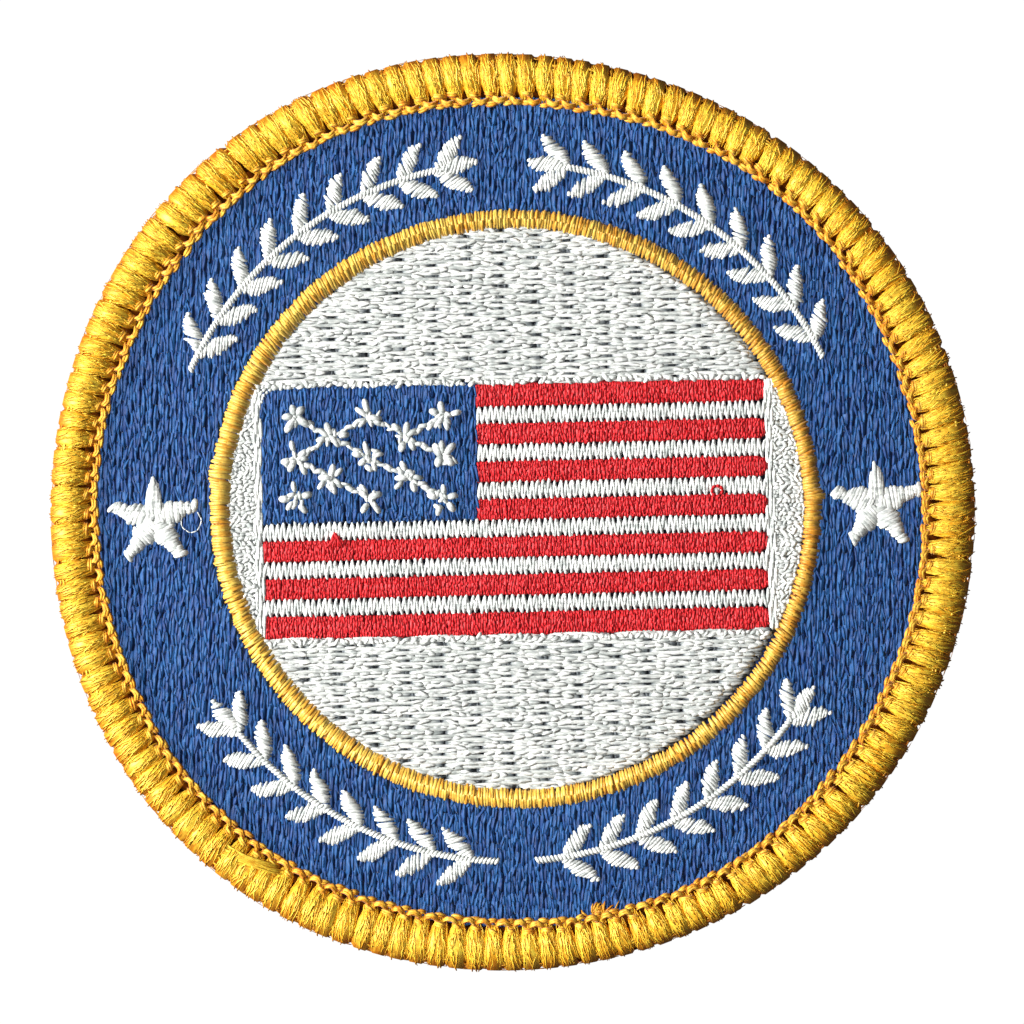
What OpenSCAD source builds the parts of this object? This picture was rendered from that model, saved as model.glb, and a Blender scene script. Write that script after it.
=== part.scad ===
/* [Centre] */
// Diameter of the white centre, inside the gold ring
centre_d = 47; // [42:0.5:60]
// How far the centre lies to the right of the patch's middle
centre_shift_x = 0.45; // [-0.6:0.05:0.6]
// How far the centre lies above the patch's middle
centre_shift_y = 0.25; // [-0.6:0.05:0.6]
// Turn of the whole design on the cloth, anticlockwise, in degrees
design_tilt = 1.25; // [-10:0.25:10]

/* [Gold ring] */
// Width of the satin ring round the centre
ring_w = 1.5; // [1:0.1:3]
// Height of its crown over the ground cloth
ring_h = 0.8; // [0.5:0.05:1.4]

/* [Blue band] */
// Width of the band between the gold ring and the chain
band_w = 9.15; // [8.5:0.05:14]
// Thickness of a field of fill stitches
fill_t = 0.4; // [0.25:0.05:0.6]
// Thickness of satin stitches laid over a field
satin_t = 0.45; // [0.25:0.05:0.8]

/* [Border] */
// Width of the overlocked border, seen from the front
border_w = 3.15; // [2.5:0.05:5]
// Height of the border's crown over the surface that the patch lies on
border_h = 2.6; // [2.4:0.05:4]
// Length along the rim that one rib of thread takes
rib_pitch = 1.62; // [1.55:0.01:3]
// Depth of the groove between two ribs
groove_depth = 0.3; // [0.1:0.05:0.4]
// Lean of the ribs from straight out, anticlockwise, in degrees
rib_lean = 10; // [0:1:25]
// Width of the row of chain loops inside the border
chain_w = 0.8; // [0.6:0.05:1.4]
// Height of a chain loop over the field that it lies on
chain_h = 0.6; // [0.4:0.05:1]

/* [Ground cloth] */
// Thickness of the twill with its stiff backing
cloth_t = 1; // [0.8:0.05:1.3]
// Thickness of the cloth's pressed edge, where the border grips it
grip_t = 0.45; // [0.3:0.05:0.5]
// How far the pressed edge reaches into the border
grip_w = 1.3; // [0.6:0.1:1.5]

/* [Flag] */
// Gap between the flag's corners and the gold ring
flag_margin = 0.15; // [0.1:0.05:2]
// Length of the flag over its height
flag_ratio = 2; // [1.5:0.05:2.2]
// Height of the outermost red stripes over the height of the others
outer_stripe_ratio = 1.2; // [1:0.05:1.5]
// Length of the blue canton
canton_l = 17.8; // [12:0.1:21]
// Width of the upright column of stitches at each end of the flag
edge_w = 0.55; // [0.4:0.05:1]

/* [Small stars] */
// Radius of a small star to its points
small_star_r = 1.4; // [0.8:0.05:1.6]
// Distance from the canton's left and right edges to the outer columns of stars
star_inset_x = 2.75; // [1.6:0.05:3.5]
// Distance from the canton's upper edge to the top row of stars
star_inset_top = 2.55; // [1.7:0.05:2.7]
// Distance from the canton's lower edge to the bottom row of stars
star_inset_low = 1.9; // [1.5:0.05:2.5]

/* [Large stars] */
// Gap between a large star's circle and the edges of the blue band
star_margin = 0.95; // [0.9:0.05:2.5]
// Radius of the waist between two points, over the radius of the points
star_waist_ratio = 0.4; // [0.3:0.01:0.6]
// How far the right star lies outward of the middle of its band
star_right_out = 0.5; // [0:0.05:0.6]

/* [Leaf sprays] */
// Length of a leaf
leaf_l = 3.6; // [2.4:0.1:4.2]
// Width of a leaf
leaf_w = 1.45; // [0.8:0.05:1.7]
// Angle between a leaf and its stem, in degrees
leaf_angle = 40; // [25:1:45]
// Distance from one pair of leaves to the next along the stem
leaf_pitch = 3.2; // [2.6:0.1:5]
// Width of the stem
stem_w = 0.6; // [0.4:0.05:1]
// How far the stem lies inward of the middle of the blue band
stem_in = 0.75; // [0:0.05:0.75]
// Where the upper sprays start, in degrees above the line of the large stars
upper_start = 25; // [20:1:40]
// Where the upper sprays end, in degrees above that line
upper_end = 86; // [60:1:87]
// Where the lower sprays start, in degrees below that line
lower_start = 87; // [60:1:87]
// Where the lower sprays end, in degrees below that line
lower_end = 31; // [20:1:45]

/* [Clearances] */
// Gap between neighbours that lie side by side
seam = 0.1; // [0.05:0.01:0.2]
// Gap between a piece and the piece that it lies on
lay_gap = 0.05; // [0.02:0.01:0.1]

/* [Hidden] */
// Nothing above changes which pieces there are
RED_COUNT = 7;
WHITE_COUNT = 6;
STAR_COUNT = 13;
$fn = 120;

gold = [0.96, 0.72, 0.16];
blue = [0.12, 0.28, 0.62];
white = [0.94, 0.94, 0.91];
red = [0.84, 0.16, 0.2];
navy = [0.08, 0.1, 0.2];

// Radii from the middle outward: the centre and the ring share the shifted middle
centre_r = centre_d / 2;
ring_r = centre_r + ring_w;
chain_r = ring_r + band_w;
border_r = chain_r + chain_w;
patch_r = border_r + border_w;
band_mid_r = (ring_r + chain_r) / 2;

// Heights: the cloth, the fields on it, and the satin work on the fields
field_z = cloth_t + lay_gap;
field_top = field_z + fill_t;
raised_z = field_top + lay_gap;

// The flag fills the centre up to its margin
flag_reach = centre_r - flag_margin;
flag_h = 2 * flag_reach / sqrt(1 + flag_ratio * flag_ratio);
flag_l = flag_h * flag_ratio;
STRIPE_COUNT = RED_COUNT + WHITE_COUNT;
stripe_h = flag_h / (STRIPE_COUNT - 2 + 2 * outer_stripe_ratio);
// The canton is as high as this many stripes
CANTON_STRIPES = 7;
canton_h = (CANTON_STRIPES - 1 + outer_stripe_ratio) * stripe_h;

// Small stars stand in rows of three and two by turns, in five rows and five columns
STAR_LINES = 5;
star_step_x = (canton_l - 2 * star_inset_x) / (STAR_LINES - 1);
star_step_y = (canton_h - star_inset_top - star_inset_low) / (STAR_LINES - 1);
STAR_PLACES = [for (row = [0:STAR_LINES - 1], column = [row % 2:2:STAR_LINES - 1]) [column, row]];

big_star_r = band_w / 2 - star_margin;
stem_r = band_mid_r - stem_in;
rib_count = round(2 * PI * patch_r / rib_pitch);

// Moves and turns what belongs to the centre
module at_centre() {
    translate([centre_shift_x, centre_shift_y, 0]) rotate(design_tilt) children();
}

// A flat ring with a level top, round the patch's middle
module flat_ring(inner_r, outer_r) {
    difference() {
        circle(r = outer_r);
        circle(r = inner_r);
    }
}

// A flat rectangle between two corners, cut back by half a seam all round
module patch_of_cloth(x0, y0, x1, y1) {
    translate([x0 + seam / 2, y0 + seam / 2]) square([x1 - x0 - seam, y1 - y0 - seam]);
}

// Joins a closed row of sections, each a closed loop of points, into one ring
module ring_of_sections(sections) {
    rows = len(sections);
    loop = len(sections[0]);
    polyhedron(
        points = [for (section = sections) each section],
        faces = [for (i = [0:rows - 1], j = [0:loop - 1])
            let (next = (i + 1) % rows, k = (j + 1) % loop)
            each [
                [i * loop + j, next * loop + j, next * loop + k],
                [i * loop + j, next * loop + k, i * loop + k]
            ]
        ],
        convexity = 6
    );
}

// The border's section, from its inner foot outward and back over the crown.
// Columns: share of the width, share of the height, share of the groove's depth
BORDER_PROFILE = [
    [0.85, 0, 0],
    [0.97, 0.14, 0.6],
    [1, 0.4, 1],
    [0.93, 0.74, 1],
    [0.68, 1, 1],
    [0.34, 0.98, 1],
    [0.08, 0.76, 0.8]
];

// One section of the border at an angle, sunk by depth where two ribs meet.
// Its last four corners are the slot that takes the cloth's pressed edge
function border_section(angle, depth) =
    let (
        inner = border_r + seam / 2,
        width = patch_r - inner,
        slot_r = border_r + grip_w + seam,
        slot_low = (cloth_t - grip_t) / 2 - lay_gap,
        slot_high = (cloth_t + grip_t) / 2 + lay_gap,
        outline = [
            [inner, 0],
            for (p = BORDER_PROFILE)
                let (
                    r = inner + p[0] * width,
                    z = p[1] * border_h,
                    middle = inner + width / 2,
                    away = [r - middle, z - border_h / 2]
                )
                [r, z] - depth * p[2] * away / norm(away),
            [inner, field_top],
            [inner, slot_high],
            [slot_r, slot_high],
            [slot_r, slot_low],
            [inner, slot_low]
        ]
    )
    [for (p = outline)
        let (turn = angle + (p[0] - inner) * tan(rib_lean) / patch_r * 180 / PI)
        [p[0] * cos(turn), p[0] * sin(turn), p[1]]
    ];

// One section of the chain at an angle, full in the middle of a loop and pinched between two
function chain_section(angle, fullness) =
    let (
        half = (chain_w - seam) / 2 * fullness,
        middle = chain_r + chain_w / 2,
        height = chain_h * fullness,
        outline = [
            [middle - half, 0],
            [middle + half, 0],
            [middle + half * 0.75, height * 0.75],
            [middle, height],
            [middle - half * 0.75, height * 0.75]
        ]
    )
    [for (p = outline) [p[0] * cos(angle), p[0] * sin(angle), raised_z + p[1]]];

module ground_cloth() {
    color(navy) union() {
        cylinder(r = border_r - seam / 2, h = cloth_t);
        translate([0, 0, (cloth_t - grip_t) / 2]) cylinder(r = border_r + grip_w, h = grip_t);
    }
}

module merrow_border() {
    step = 360 / rib_count;
    color(gold) ring_of_sections([
        for (i = [0:rib_count - 1])
            each [
                border_section(i * step, 0),
                border_section((i + 0.5) * step, groove_depth)
            ]
    ]);
}

module border_chain() {
    pinch = 0.7;
    step = 360 / rib_count;
    color(gold) ring_of_sections([
        for (i = [0:rib_count - 1])
            each [
                chain_section(i * step, 1),
                chain_section((i + 0.5) * step, pinch)
            ]
    ]);
}

module blue_field() {
    color(blue) translate([0, 0, field_z]) linear_extrude(fill_t) difference() {
        circle(r = border_r - seam / 2);
        translate([centre_shift_x, centre_shift_y]) circle(r = ring_r + seam / 2);
    }
}

// A dome-shaped section, flat below and an arc above, swept round the centre
module gold_ring() {
    width = ring_w - seam;
    rise = ring_h - lay_gap;
    arc_r = (width * width / 4 + rise * rise) / (2 * rise);
    color(gold) at_centre() translate([0, 0, field_z]) rotate_extrude() intersection() {
        translate([centre_r + ring_w / 2, rise - arc_r]) circle(r = arc_r);
        translate([centre_r + seam / 2, 0]) square([width, rise]);
    }
}

// The part of the white centre between two corners, inside the gold ring
module white_field(x0, y0, x1, y1) {
    color(white) at_centre() translate([0, 0, field_z]) linear_extrude(fill_t) intersection() {
        circle(r = centre_r - seam / 2);
        patch_of_cloth(x0, y0, x1, y1);
    }
}

module white_field_upper() {
    white_field(-centre_r, flag_h / 2, centre_r, centre_r);
}

module white_field_lower() {
    white_field(-centre_r, -centre_r, centre_r, -flag_h / 2);
}

module white_field_left() {
    white_field(-centre_r, -flag_h / 2, -flag_l / 2 - edge_w, flag_h / 2);
}

module white_field_right() {
    white_field(flag_l / 2 + edge_w, -flag_h / 2, centre_r, flag_h / 2);
}

module flag_edge_left() {
    white_field(-flag_l / 2 - edge_w, -flag_h / 2, -flag_l / 2, flag_h / 2);
}

module flag_edge_right() {
    white_field(flag_l / 2, -flag_h / 2, flag_l / 2 + edge_w, flag_h / 2);
}

module canton() {
    color(blue) at_centre() translate([0, 0, field_z]) linear_extrude(fill_t)
        patch_of_cloth(-flag_l / 2, flag_h / 2 - canton_h, -flag_l / 2 + canton_l, flag_h / 2);
}

// Upper edge of a stripe, counted from 0 at the top
function stripe_top(i) = flag_h / 2 - (i == 0 ? 0 : (i - 1 + outer_stripe_ratio) * stripe_h);

// A stripe, counted from 0 at the top: beside the canton the stripes are shorter
module stripe(i) {
    left = i < CANTON_STRIPES ? canton_l - flag_l / 2 : -flag_l / 2;
    low = i == STRIPE_COUNT - 1 ? -flag_h / 2 : stripe_top(i + 1);
    at_centre() translate([0, 0, field_z]) linear_extrude(fill_t)
        patch_of_cloth(left, low, flag_l / 2, stripe_top(i));
}

module red_stripe(n) {
    color(red) stripe(2 * (n - 1));
}

module white_stripe(n) {
    color(white) stripe(2 * n - 1);
}

// A five-pointed star with an upright rim and a low peak
module raised_star(r, height) {
    POINTS = 5;
    count = 2 * POINTS;
    outline = [for (i = [0:count - 1])
        let (reach = i % 2 == 0 ? r : r * star_waist_ratio, turn = 90 + i * 180 / POINTS)
        [reach * cos(turn), reach * sin(turn)]
    ];
    polyhedron(
        points = [
            for (p = outline) [p[0], p[1], 0],
            for (p = outline) [p[0], p[1], height / 2],
            [0, 0, 0],
            [0, 0, height]
        ],
        faces = [for (i = [0:count - 1])
            let (k = (i + 1) % count)
            each [
                [i, count + i, count + k, k],
                [2 * count, i, k],
                [2 * count + 1, count + k, count + i]
            ]
        ]
    );
}

module canton_star(n) {
    place = STAR_PLACES[n - 1];
    color(white) at_centre() translate([
        -flag_l / 2 + star_inset_x + place[0] * star_step_x,
        flag_h / 2 - star_inset_top - place[1] * star_step_y,
        raised_z
    ]) raised_star(small_star_r, satin_t);
}

module star_left() {
    band_mid = centre_shift_x / 2 - band_mid_r;
    color(white) rotate(design_tilt) translate([band_mid, 0, raised_z]) raised_star(big_star_r, satin_t);
}

module star_right() {
    band_mid = centre_shift_x / 2 + band_mid_r;
    color(white) rotate(design_tilt) translate([band_mid + star_right_out, 0, raised_z])
        raised_star(big_star_r, satin_t);
}

// A leaf from its base at the origin towards +X, between two arcs
module leaf() {
    arc_r = (leaf_l * leaf_l + leaf_w * leaf_w) / (4 * leaf_w);
    translate([leaf_l / 2, 0]) intersection() {
        translate([0, arc_r - leaf_w / 2]) circle(r = arc_r);
        translate([0, leaf_w / 2 - arc_r]) circle(r = arc_r);
    }
}

// A stem along the band from one angle to another, with pairs of leaves and one at its tip
module spray(from, to) {
    grow = to > from ? 1 : -1;
    per_mm = 180 / PI / stem_r;
    stem_turn = abs(to - from) - leaf_l * per_mm;
    pairs = floor(stem_turn / per_mm / leaf_pitch);
    // The stem ends under the last leaves. A wedge holds it, as it turns through under 120 degrees
    stem_end = from + grow * (stem_turn + stem_w * per_mm);
    wedge_r = 3 * stem_r;
    linear_extrude(satin_t) union() {
        intersection() {
            flat_ring(stem_r - stem_w / 2, stem_r + stem_w / 2);
            polygon([
                [0, 0],
                wedge_r * [cos(from), sin(from)],
                wedge_r * [cos(stem_end), sin(stem_end)]
            ]);
        }
        for (i = [0:pairs], side = [-1, 1])
            rotate(from + grow * (stem_turn - i * leaf_pitch * per_mm)) translate([stem_r, 0])
                rotate(grow * 90 + side * leaf_angle) leaf();
        rotate(from + grow * stem_turn) translate([stem_r, 0]) rotate(grow * 90) leaf();
    }
}

module laurel(from, to) {
    color(white) rotate(design_tilt) translate([0, 0, raised_z]) spray(from, to);
}

module laurel_upper_left() {
    laurel(180 - upper_start, 180 - upper_end);
}

module laurel_upper_right() {
    laurel(upper_start, upper_end);
}

module laurel_lower_left() {
    laurel(180 + lower_start, 180 + lower_end);
}

module laurel_lower_right() {
    laurel(-lower_start, -lower_end);
}

ground_cloth();
merrow_border();
border_chain();
blue_field();
gold_ring();
white_field_upper();
white_field_lower();
white_field_left();
white_field_right();
flag_edge_left();
flag_edge_right();
canton();
for (i = [1:RED_COUNT])
    red_stripe(i);
for (i = [1:WHITE_COUNT])
    white_stripe(i);
for (i = [1:STAR_COUNT])
    canton_star(i);
star_left();
star_right();
laurel_upper_left();
laurel_upper_right();
laurel_lower_left();
laurel_lower_right();
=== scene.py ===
# %% [markdown]
# # A round embroidered patch, stitch by stitch
# The real patch is a disc of stiff navy twill. A sewing machine covers it with thread, and an
# overlocking machine then wraps its edge in a thick gold border. Almost everything that the eye
# sees is thread, so this lesson makes one stitch well and then lays thousands of them, region by
# region, in about the order in which the machines sewed them.
#
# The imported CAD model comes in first. It is the fixed frame: it says where each region is, and
# how large the patch is.

# %% The frame
import math

import bmesh
import bpy
import numpy as np
from mathutils import Matrix, Vector


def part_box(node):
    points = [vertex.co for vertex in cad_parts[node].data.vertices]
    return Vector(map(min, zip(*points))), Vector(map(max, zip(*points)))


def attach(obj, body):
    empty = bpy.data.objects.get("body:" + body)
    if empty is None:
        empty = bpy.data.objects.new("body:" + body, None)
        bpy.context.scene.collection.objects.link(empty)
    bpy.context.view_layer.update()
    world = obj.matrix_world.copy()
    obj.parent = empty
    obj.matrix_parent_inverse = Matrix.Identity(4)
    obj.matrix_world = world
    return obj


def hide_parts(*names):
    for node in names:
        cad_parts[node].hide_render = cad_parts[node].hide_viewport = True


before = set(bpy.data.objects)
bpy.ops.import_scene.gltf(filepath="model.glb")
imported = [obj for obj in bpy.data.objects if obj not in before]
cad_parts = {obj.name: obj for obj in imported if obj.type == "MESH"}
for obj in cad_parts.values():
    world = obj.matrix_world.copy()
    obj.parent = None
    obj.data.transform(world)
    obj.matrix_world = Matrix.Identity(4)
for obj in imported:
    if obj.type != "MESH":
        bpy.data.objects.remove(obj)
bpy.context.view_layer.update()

print("CAD nodes:", len(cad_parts))

# %% [markdown]
# ## Sizes
# Work in millimetres while designing thread, because a stitch is a fraction of a millimetre, and
# change to metres only when a mesh is written. What the CAD model can tell is read from its boxes.
# The rest repeats the values that the CAD model was made from.

# %% Sizes in millimetres
MM = 0.001


def box_mm(node):
    low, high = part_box(node)
    return np.array(low) / MM, np.array(high) / MM


PATCH_R, BORDER_H = box_mm("merrow_border")[1][[0, 2]]
CLOTH_R, CLOTH_T = box_mm("ground_cloth")[1][[0, 2]]
FIELD_Z, FIELD_TOP = (corner[2] for corner in box_mm("blue_field"))
RAISED_Z = box_mm("star_left")[0][2]

TILT = math.radians(1.25)
CENTRE = np.array([0.45, 0.25])
RING_IN, RING_OUT = 23.55, 25.0
RING_WIDER, RING_LOWER = 1.012, 0.988
CHAIN_IN, BORDER_IN = 34.15, 34.98
# Half the flag's length and height, and the width of the satin along its ends
FLAG_X, FLAG_Y, EDGE_W = 41.77 / 2, 20.885 / 2, 0.55
CANTON_L, CANTON_H = 17.8, 11.222
STRIPE_H, OUTER_STRIPE_H = 1.5586, 1.8703
RIBS = 148
print("patch radius:", round(float(PATCH_R), 2), "height:", round(float(BORDER_H), 2))

# %% [markdown]
# ## One stitch
# A stitch is a soft bundle of fibres that comes up out of one needle hole and goes down into the
# next. It is fullest in the middle and pointed at both ends. A sphere with few faces, lain on its
# side and filled out, gives that shape with only a few dozen faces, which matters because it is
# used thousands of times. Hairs and flecks have the fewest faces, and the border's ribs the most.

# %% The seed of a stitch
def make_seed(sides, rings, fullness):
    """A stitch one unit long, from 0 to 1 along X, as plain arrays."""
    shape = bmesh.new()
    bmesh.ops.create_uvsphere(shape, u_segments=sides, v_segments=rings, radius=0.5)
    turn = Matrix.Rotation(math.pi / 2, 3, "Y")
    bmesh.ops.rotate(shape, verts=shape.verts, cent=(0, 0, 0), matrix=turn)
    bmesh.ops.translate(shape, verts=shape.verts, vec=(0.5, 0, 0))
    bmesh.ops.recalc_face_normals(shape, faces=shape.faces)
    shape.verts.index_update()
    points = np.array([v.co for v in shape.verts])
    corners = np.array([v.index for f in shape.faces for v in f.verts])
    counts = np.array([len(f.verts) for f in shape.faces])
    shape.free()
    girth = 2 * np.hypot(points[:, 1], points[:, 2])
    fuller = np.where(girth > 1e-4, np.maximum(girth, 1e-4) ** (fullness - 1), 0)
    return {
        "along": points[:, 0],
        "across": points[:, 1] * fuller,
        "upward": points[:, 2] * fuller,
        "girth": girth,
        "crown": np.where(girth > 1e-4, 2 * points[:, 2] / np.maximum(girth, 1e-4), 0),
        "corners": corners,
        "counts": counts,
    }


HAIR = make_seed(3, 5, 0.7)
FLECK = make_seed(4, 6, 0.7)
THIN = make_seed(5, 6, 0.8)
LONG = make_seed(5, 9, 0.6)
FAT = make_seed(6, 7, 0.6)
POINTED = make_seed(5, 8, 0.9)
BLOB = make_seed(6, 8, 0.35)
BODY = make_seed(6, 10, 0.36)
print("faces in a hair, a thin stitch and a rib:", *(len(s["counts"]) for s in (HAIR, THIN, BODY)))

# %% [markdown]
# ## Laying stitches
# Each stitch follows a smooth curve. At every ring of the seed, the curve gives the middle, its
# direction gives the way forward, and an upward vector says which side is the crown. NumPy lays
# all the stitches of a region at once, because a loop in Python would take minutes. Each point
# also keeps two numbers for the material: how high it lies on its thread, which the material turns
# into painted shade and highlight, and a random tone that belongs to the whole stitch. Where a
# stitch lies deep or in shade, a painted shade lowers the first of them.

# %% The layer of stitches
NUDGE = 0.02


def unit(v):
    return v / np.maximum(np.linalg.norm(v, axis=-1, keepdims=True), 1e-9)


def at(value, t):
    """A value that may also be given as a function of the way along."""
    return value(t) if callable(value) else value


def bend(controls):
    """The smooth curves pulled by n rows of control points, as a function of the way along."""
    controls = np.asarray(controls, float)
    last = controls.shape[1] - 1

    def follow(t):
        shares = np.stack([math.comb(last, i) * t**i * (1 - t) ** (last - i) for i in range(last + 1)])
        return np.einsum("km,nkc->nmc", shares, controls)

    return follow


def about(width, share=0.15):
    """A range of widths, up to a share less or more than the given one."""
    return width * (1 - share), width * (1 + share)


def lay(seed, follow, rng, wide, high, up=(0.0, 0.0, 1.0), shade=1.0, soft=0.0, taper=1.0):
    """Lays one seed along each curve. Sizes are in millimetres, and wide may be a range."""
    t = seed["along"]
    centre = follow(t)
    n = len(centre)
    forward = unit(follow(np.clip(t + NUDGE, 0, 1)) - follow(np.clip(t - NUDGE, 0, 1)))
    side = unit(np.cross(np.broadcast_to(at(up, t), centre.shape), forward))
    lift = np.cross(forward, side)
    if isinstance(wide, tuple):
        wide = rng.uniform(*wide, (n, 1))
    across = seed["across"] * at(taper, t) * wide
    points = centre + side * across[..., None] + lift * (seed["upward"] * high)[..., None]
    length = np.linalg.norm(np.diff(follow(np.linspace(0, 1, 9)), axis=1), axis=2).sum(1)
    # Painted shade: lower on the sides and underside of a stitch and at its pointed ends
    height = (0.5 + 0.5 * seed["crown"]) * np.clip(1.8 * seed["girth"], 0, 1)
    height = (soft + (1 - soft) * height) * at(shade, t)
    round_share = np.arctan2(seed["across"], seed["upward"]) / (2 * math.pi)
    return {
        "points": points.reshape(-1, 3),
        "tone": np.repeat(rng.random(n), len(t)),
        "lift": np.broadcast_to(height, (n, len(t))).ravel(),
        "uv": np.stack([np.tile(round_share, n), (t * length[:, None]).ravel()], 1),
        "corners": (seed["corners"] + len(t) * np.arange(n)[:, None]).ravel(),
        "counts": np.tile(seed["counts"], n),
    }


print("a ply 0.3 mm wide, more or less:", about(0.3))

# %% [markdown]
# ## The path of a sewn stitch
# A needle pulls the thread up out of the cloth, across, and down again, so a stitch rises steeply,
# runs nearly flat and falls steeply. Six control points give that arch. A slope suits a long
# stitch, whose far end is pulled lower, and a dome suits satin over padding. No hand or machine
# lays thread quite straight, so the inner points may sway, and a stitch may bow to one side.

# %% Curves that leave the cloth and go back into it
SHARES = (0.0, 0.12, 0.37, 0.63, 0.88, 1.0)
ARCH = (0.0, 1.0, 1.0, 1.0, 1.0, 0.0)
SLOPE = (0.0, 1.15, 1.1, 0.9, 0.55, 0.0)
DOME = (0.0, 0.7, 1.25, 1.25, 0.7, 0.0)


def sewn(start, end, rng, rise, low, sway=0.0, bow=0.0, arch=ARCH):
    """Curves from start to end that come up out of the cloth and go down into it again."""
    start, end = np.asarray(start, float), np.asarray(end, float)
    n = len(start)
    reach = end - start
    across = unit(np.stack([-reach[:, 1], reach[:, 0]], 1))
    controls = np.zeros((n, len(SHARES), 3))
    for i, share in enumerate(SHARES):
        shift = rng.normal(0, sway, n) + bow * 4 * share * (1 - share) if 0 < share < 1 else np.zeros(n)
        controls[:, i, :2] = start + reach * share + across * shift[:, None]
        controls[:, i, 2] = low + rise * arch[i]
    return bend(controls)


def polar(angle, radius=1.0):
    """Points at an angle and a distance from the middle."""
    return np.stack([radius * np.cos(angle), radius * np.sin(angle)], -1)


def ends(x0, y0, x1, y1):
    """The start and end points of stitches, from four columns of places."""
    return np.stack([x0, y0], 1), np.stack([x1, y1], 1)


print("control points of a stitch:", len(SHARES))

# %% [markdown]
# ## Writing a piece
# A piece is all the stitches of one region in one mesh, because thousands of small objects would
# be slow and hard to handle. It rides on the root body, stands for its CAD node, and takes the
# finish that it is given.

# %% Meshes become pieces
tally = {}


def show(name, data):
    thing = bpy.data.objects.new(name, data)
    bpy.context.scene.collection.objects.link(thing)
    return thing


def enter(name, mesh, material, nodes):
    """Enters a finished mesh as a piece, in place of its CAD nodes."""
    mesh.materials.append(material)
    piece = show(name, mesh)
    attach(piece, "root")
    if nodes:
        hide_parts(*nodes)
    mesh.calc_loop_triangles()
    tally[name] = len(mesh.loop_triangles)
    print(f"{name}: {tally[name]} triangles")
    return piece


def make_piece(name, batches, material, slot, *nodes):
    """Joins batches of stitches in one mesh, with the tone, the lift and a map along the thread."""
    starts = np.cumsum([0] + [len(b["points"]) for b in batches[:-1]])
    corners = np.concatenate([b["corners"] + s for b, s in zip(batches, starts)])
    kept = ("points", "counts", "uv", "tone", "lift")
    joined = {key: np.concatenate([b[key] for b in batches]) for key in kept}
    counts = joined["counts"]
    mesh = bpy.data.meshes.new(name)
    mesh.vertices.add(len(joined["points"]))
    mesh.vertices.foreach_set("co", (joined["points"] * MM).astype(np.float32).ravel())
    mesh.loops.add(len(corners))
    mesh.loops.foreach_set("vertex_index", corners.astype(np.int32))
    mesh.polygons.add(len(counts))
    mesh.polygons.foreach_set("loop_start", (np.cumsum(counts) - counts).astype(np.int32))
    mesh.polygons.foreach_set("use_smooth", np.ones(len(counts), bool))
    mesh.update(calc_edges=True)
    uv = mesh.uv_layers.new(name="thread")
    uv.data.foreach_set("uv", joined["uv"][corners].astype(np.float32).ravel())
    for key in ("tone", "lift"):
        layer = mesh.attributes.new(key, "FLOAT", "POINT")
        layer.data.foreach_set("value", joined[key].astype(np.float32))
    return enter(name, mesh, material, nodes)


# %% Bmesh shapes become pieces
def mesh_piece(name, shape, material, slot, *nodes, smooth=True):
    """Writes a bmesh shape as a piece."""
    bmesh.ops.recalc_face_normals(shape, faces=shape.faces)
    mesh = bpy.data.meshes.new(name)
    shape.to_mesh(mesh)
    shape.free()
    if smooth:
        mesh.shade_smooth()
    return enter(name, mesh, material, nodes)


def new_verts(made):
    """The vertices among what a bmesh operator has made."""
    return [g for g in made["geom"] if isinstance(g, bmesh.types.BMVert)]


print("pieces so far:", len(tally))

# %% [markdown]
# ## Finishes
# A finish is a small net of nodes that feeds one shader. The same few joints come back in each of
# them, so a helper adds a node, sets its sockets and makes its links in one call. A value that is
# the same all over stands on the shader's own socket.

# %% Ways to build a finish
def linear(*rgb):
    """A colour as it is picked on a screen, made linear for Blender."""
    shares = [c / 255 for c in rgb]
    return (*(c / 12.92 if c <= 0.04045 else ((c + 0.055) / 1.055) ** 2.4 for c in shares), 1.0)


PLAIN = (1, 1, 1, 1)


class Finish:
    """A new material, and short ways to add nodes to it."""

    def __init__(self, name, sockets):
        self.material = bpy.data.materials.new(name)
        self.material.use_nodes = True
        self.shader = self.material.node_tree.nodes["Principled BSDF"]
        self.feed(self.shader, sockets)

    def feed(self, node, sockets):
        """Sets sockets to values, or links them to the outputs of other nodes."""
        for socket, value in sockets.items():
            if isinstance(value, bpy.types.NodeSocket):
                self.material.node_tree.links.new(value, node.inputs[socket])
            else:
                node.inputs[socket].default_value = value

    def add(self, kind, output, sockets=None, **settings):
        """Adds a node and returns one of its outputs."""
        node = self.material.node_tree.nodes.new("ShaderNode" + kind)
        for key, value in settings.items():
            setattr(node, key, value)
        self.feed(node, sockets or {})
        return node.outputs[output]

    def math(self, operation, *values):
        return self.add("Math", 0, dict(enumerate(values)), operation=operation)

    def ramp(self, factor, first, *between, last):
        """A colour ramp. Each stop is a place and a colour."""
        colour = self.add("ValToRGB", "Color", {"Fac": factor})
        elements = colour.node.color_ramp.elements
        elements[0].position, elements[0].color = first
        elements[1].position, elements[1].color = last
        for place, shade in between:
            elements.new(place).color = shade
        return colour

    def multiply(self, a, b):
        sockets = {"Factor": 1.0, "A": a, "B": b}
        return self.add("Mix", "Result", sockets, data_type="RGBA", blend_type="MULTIPLY")

    def complete(self, colour, relief, strength, distance):
        """Joins the colour and a small bump to the shader."""
        sockets = {"Height": relief, "Strength": strength, "Distance": distance}
        self.feed(self.shader, {"Base Color": colour, "Normal": self.add("Bump", "Normal", sockets)})
        return self.material


print("mid grey, made linear:", round(linear(128)[0], 3))
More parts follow.
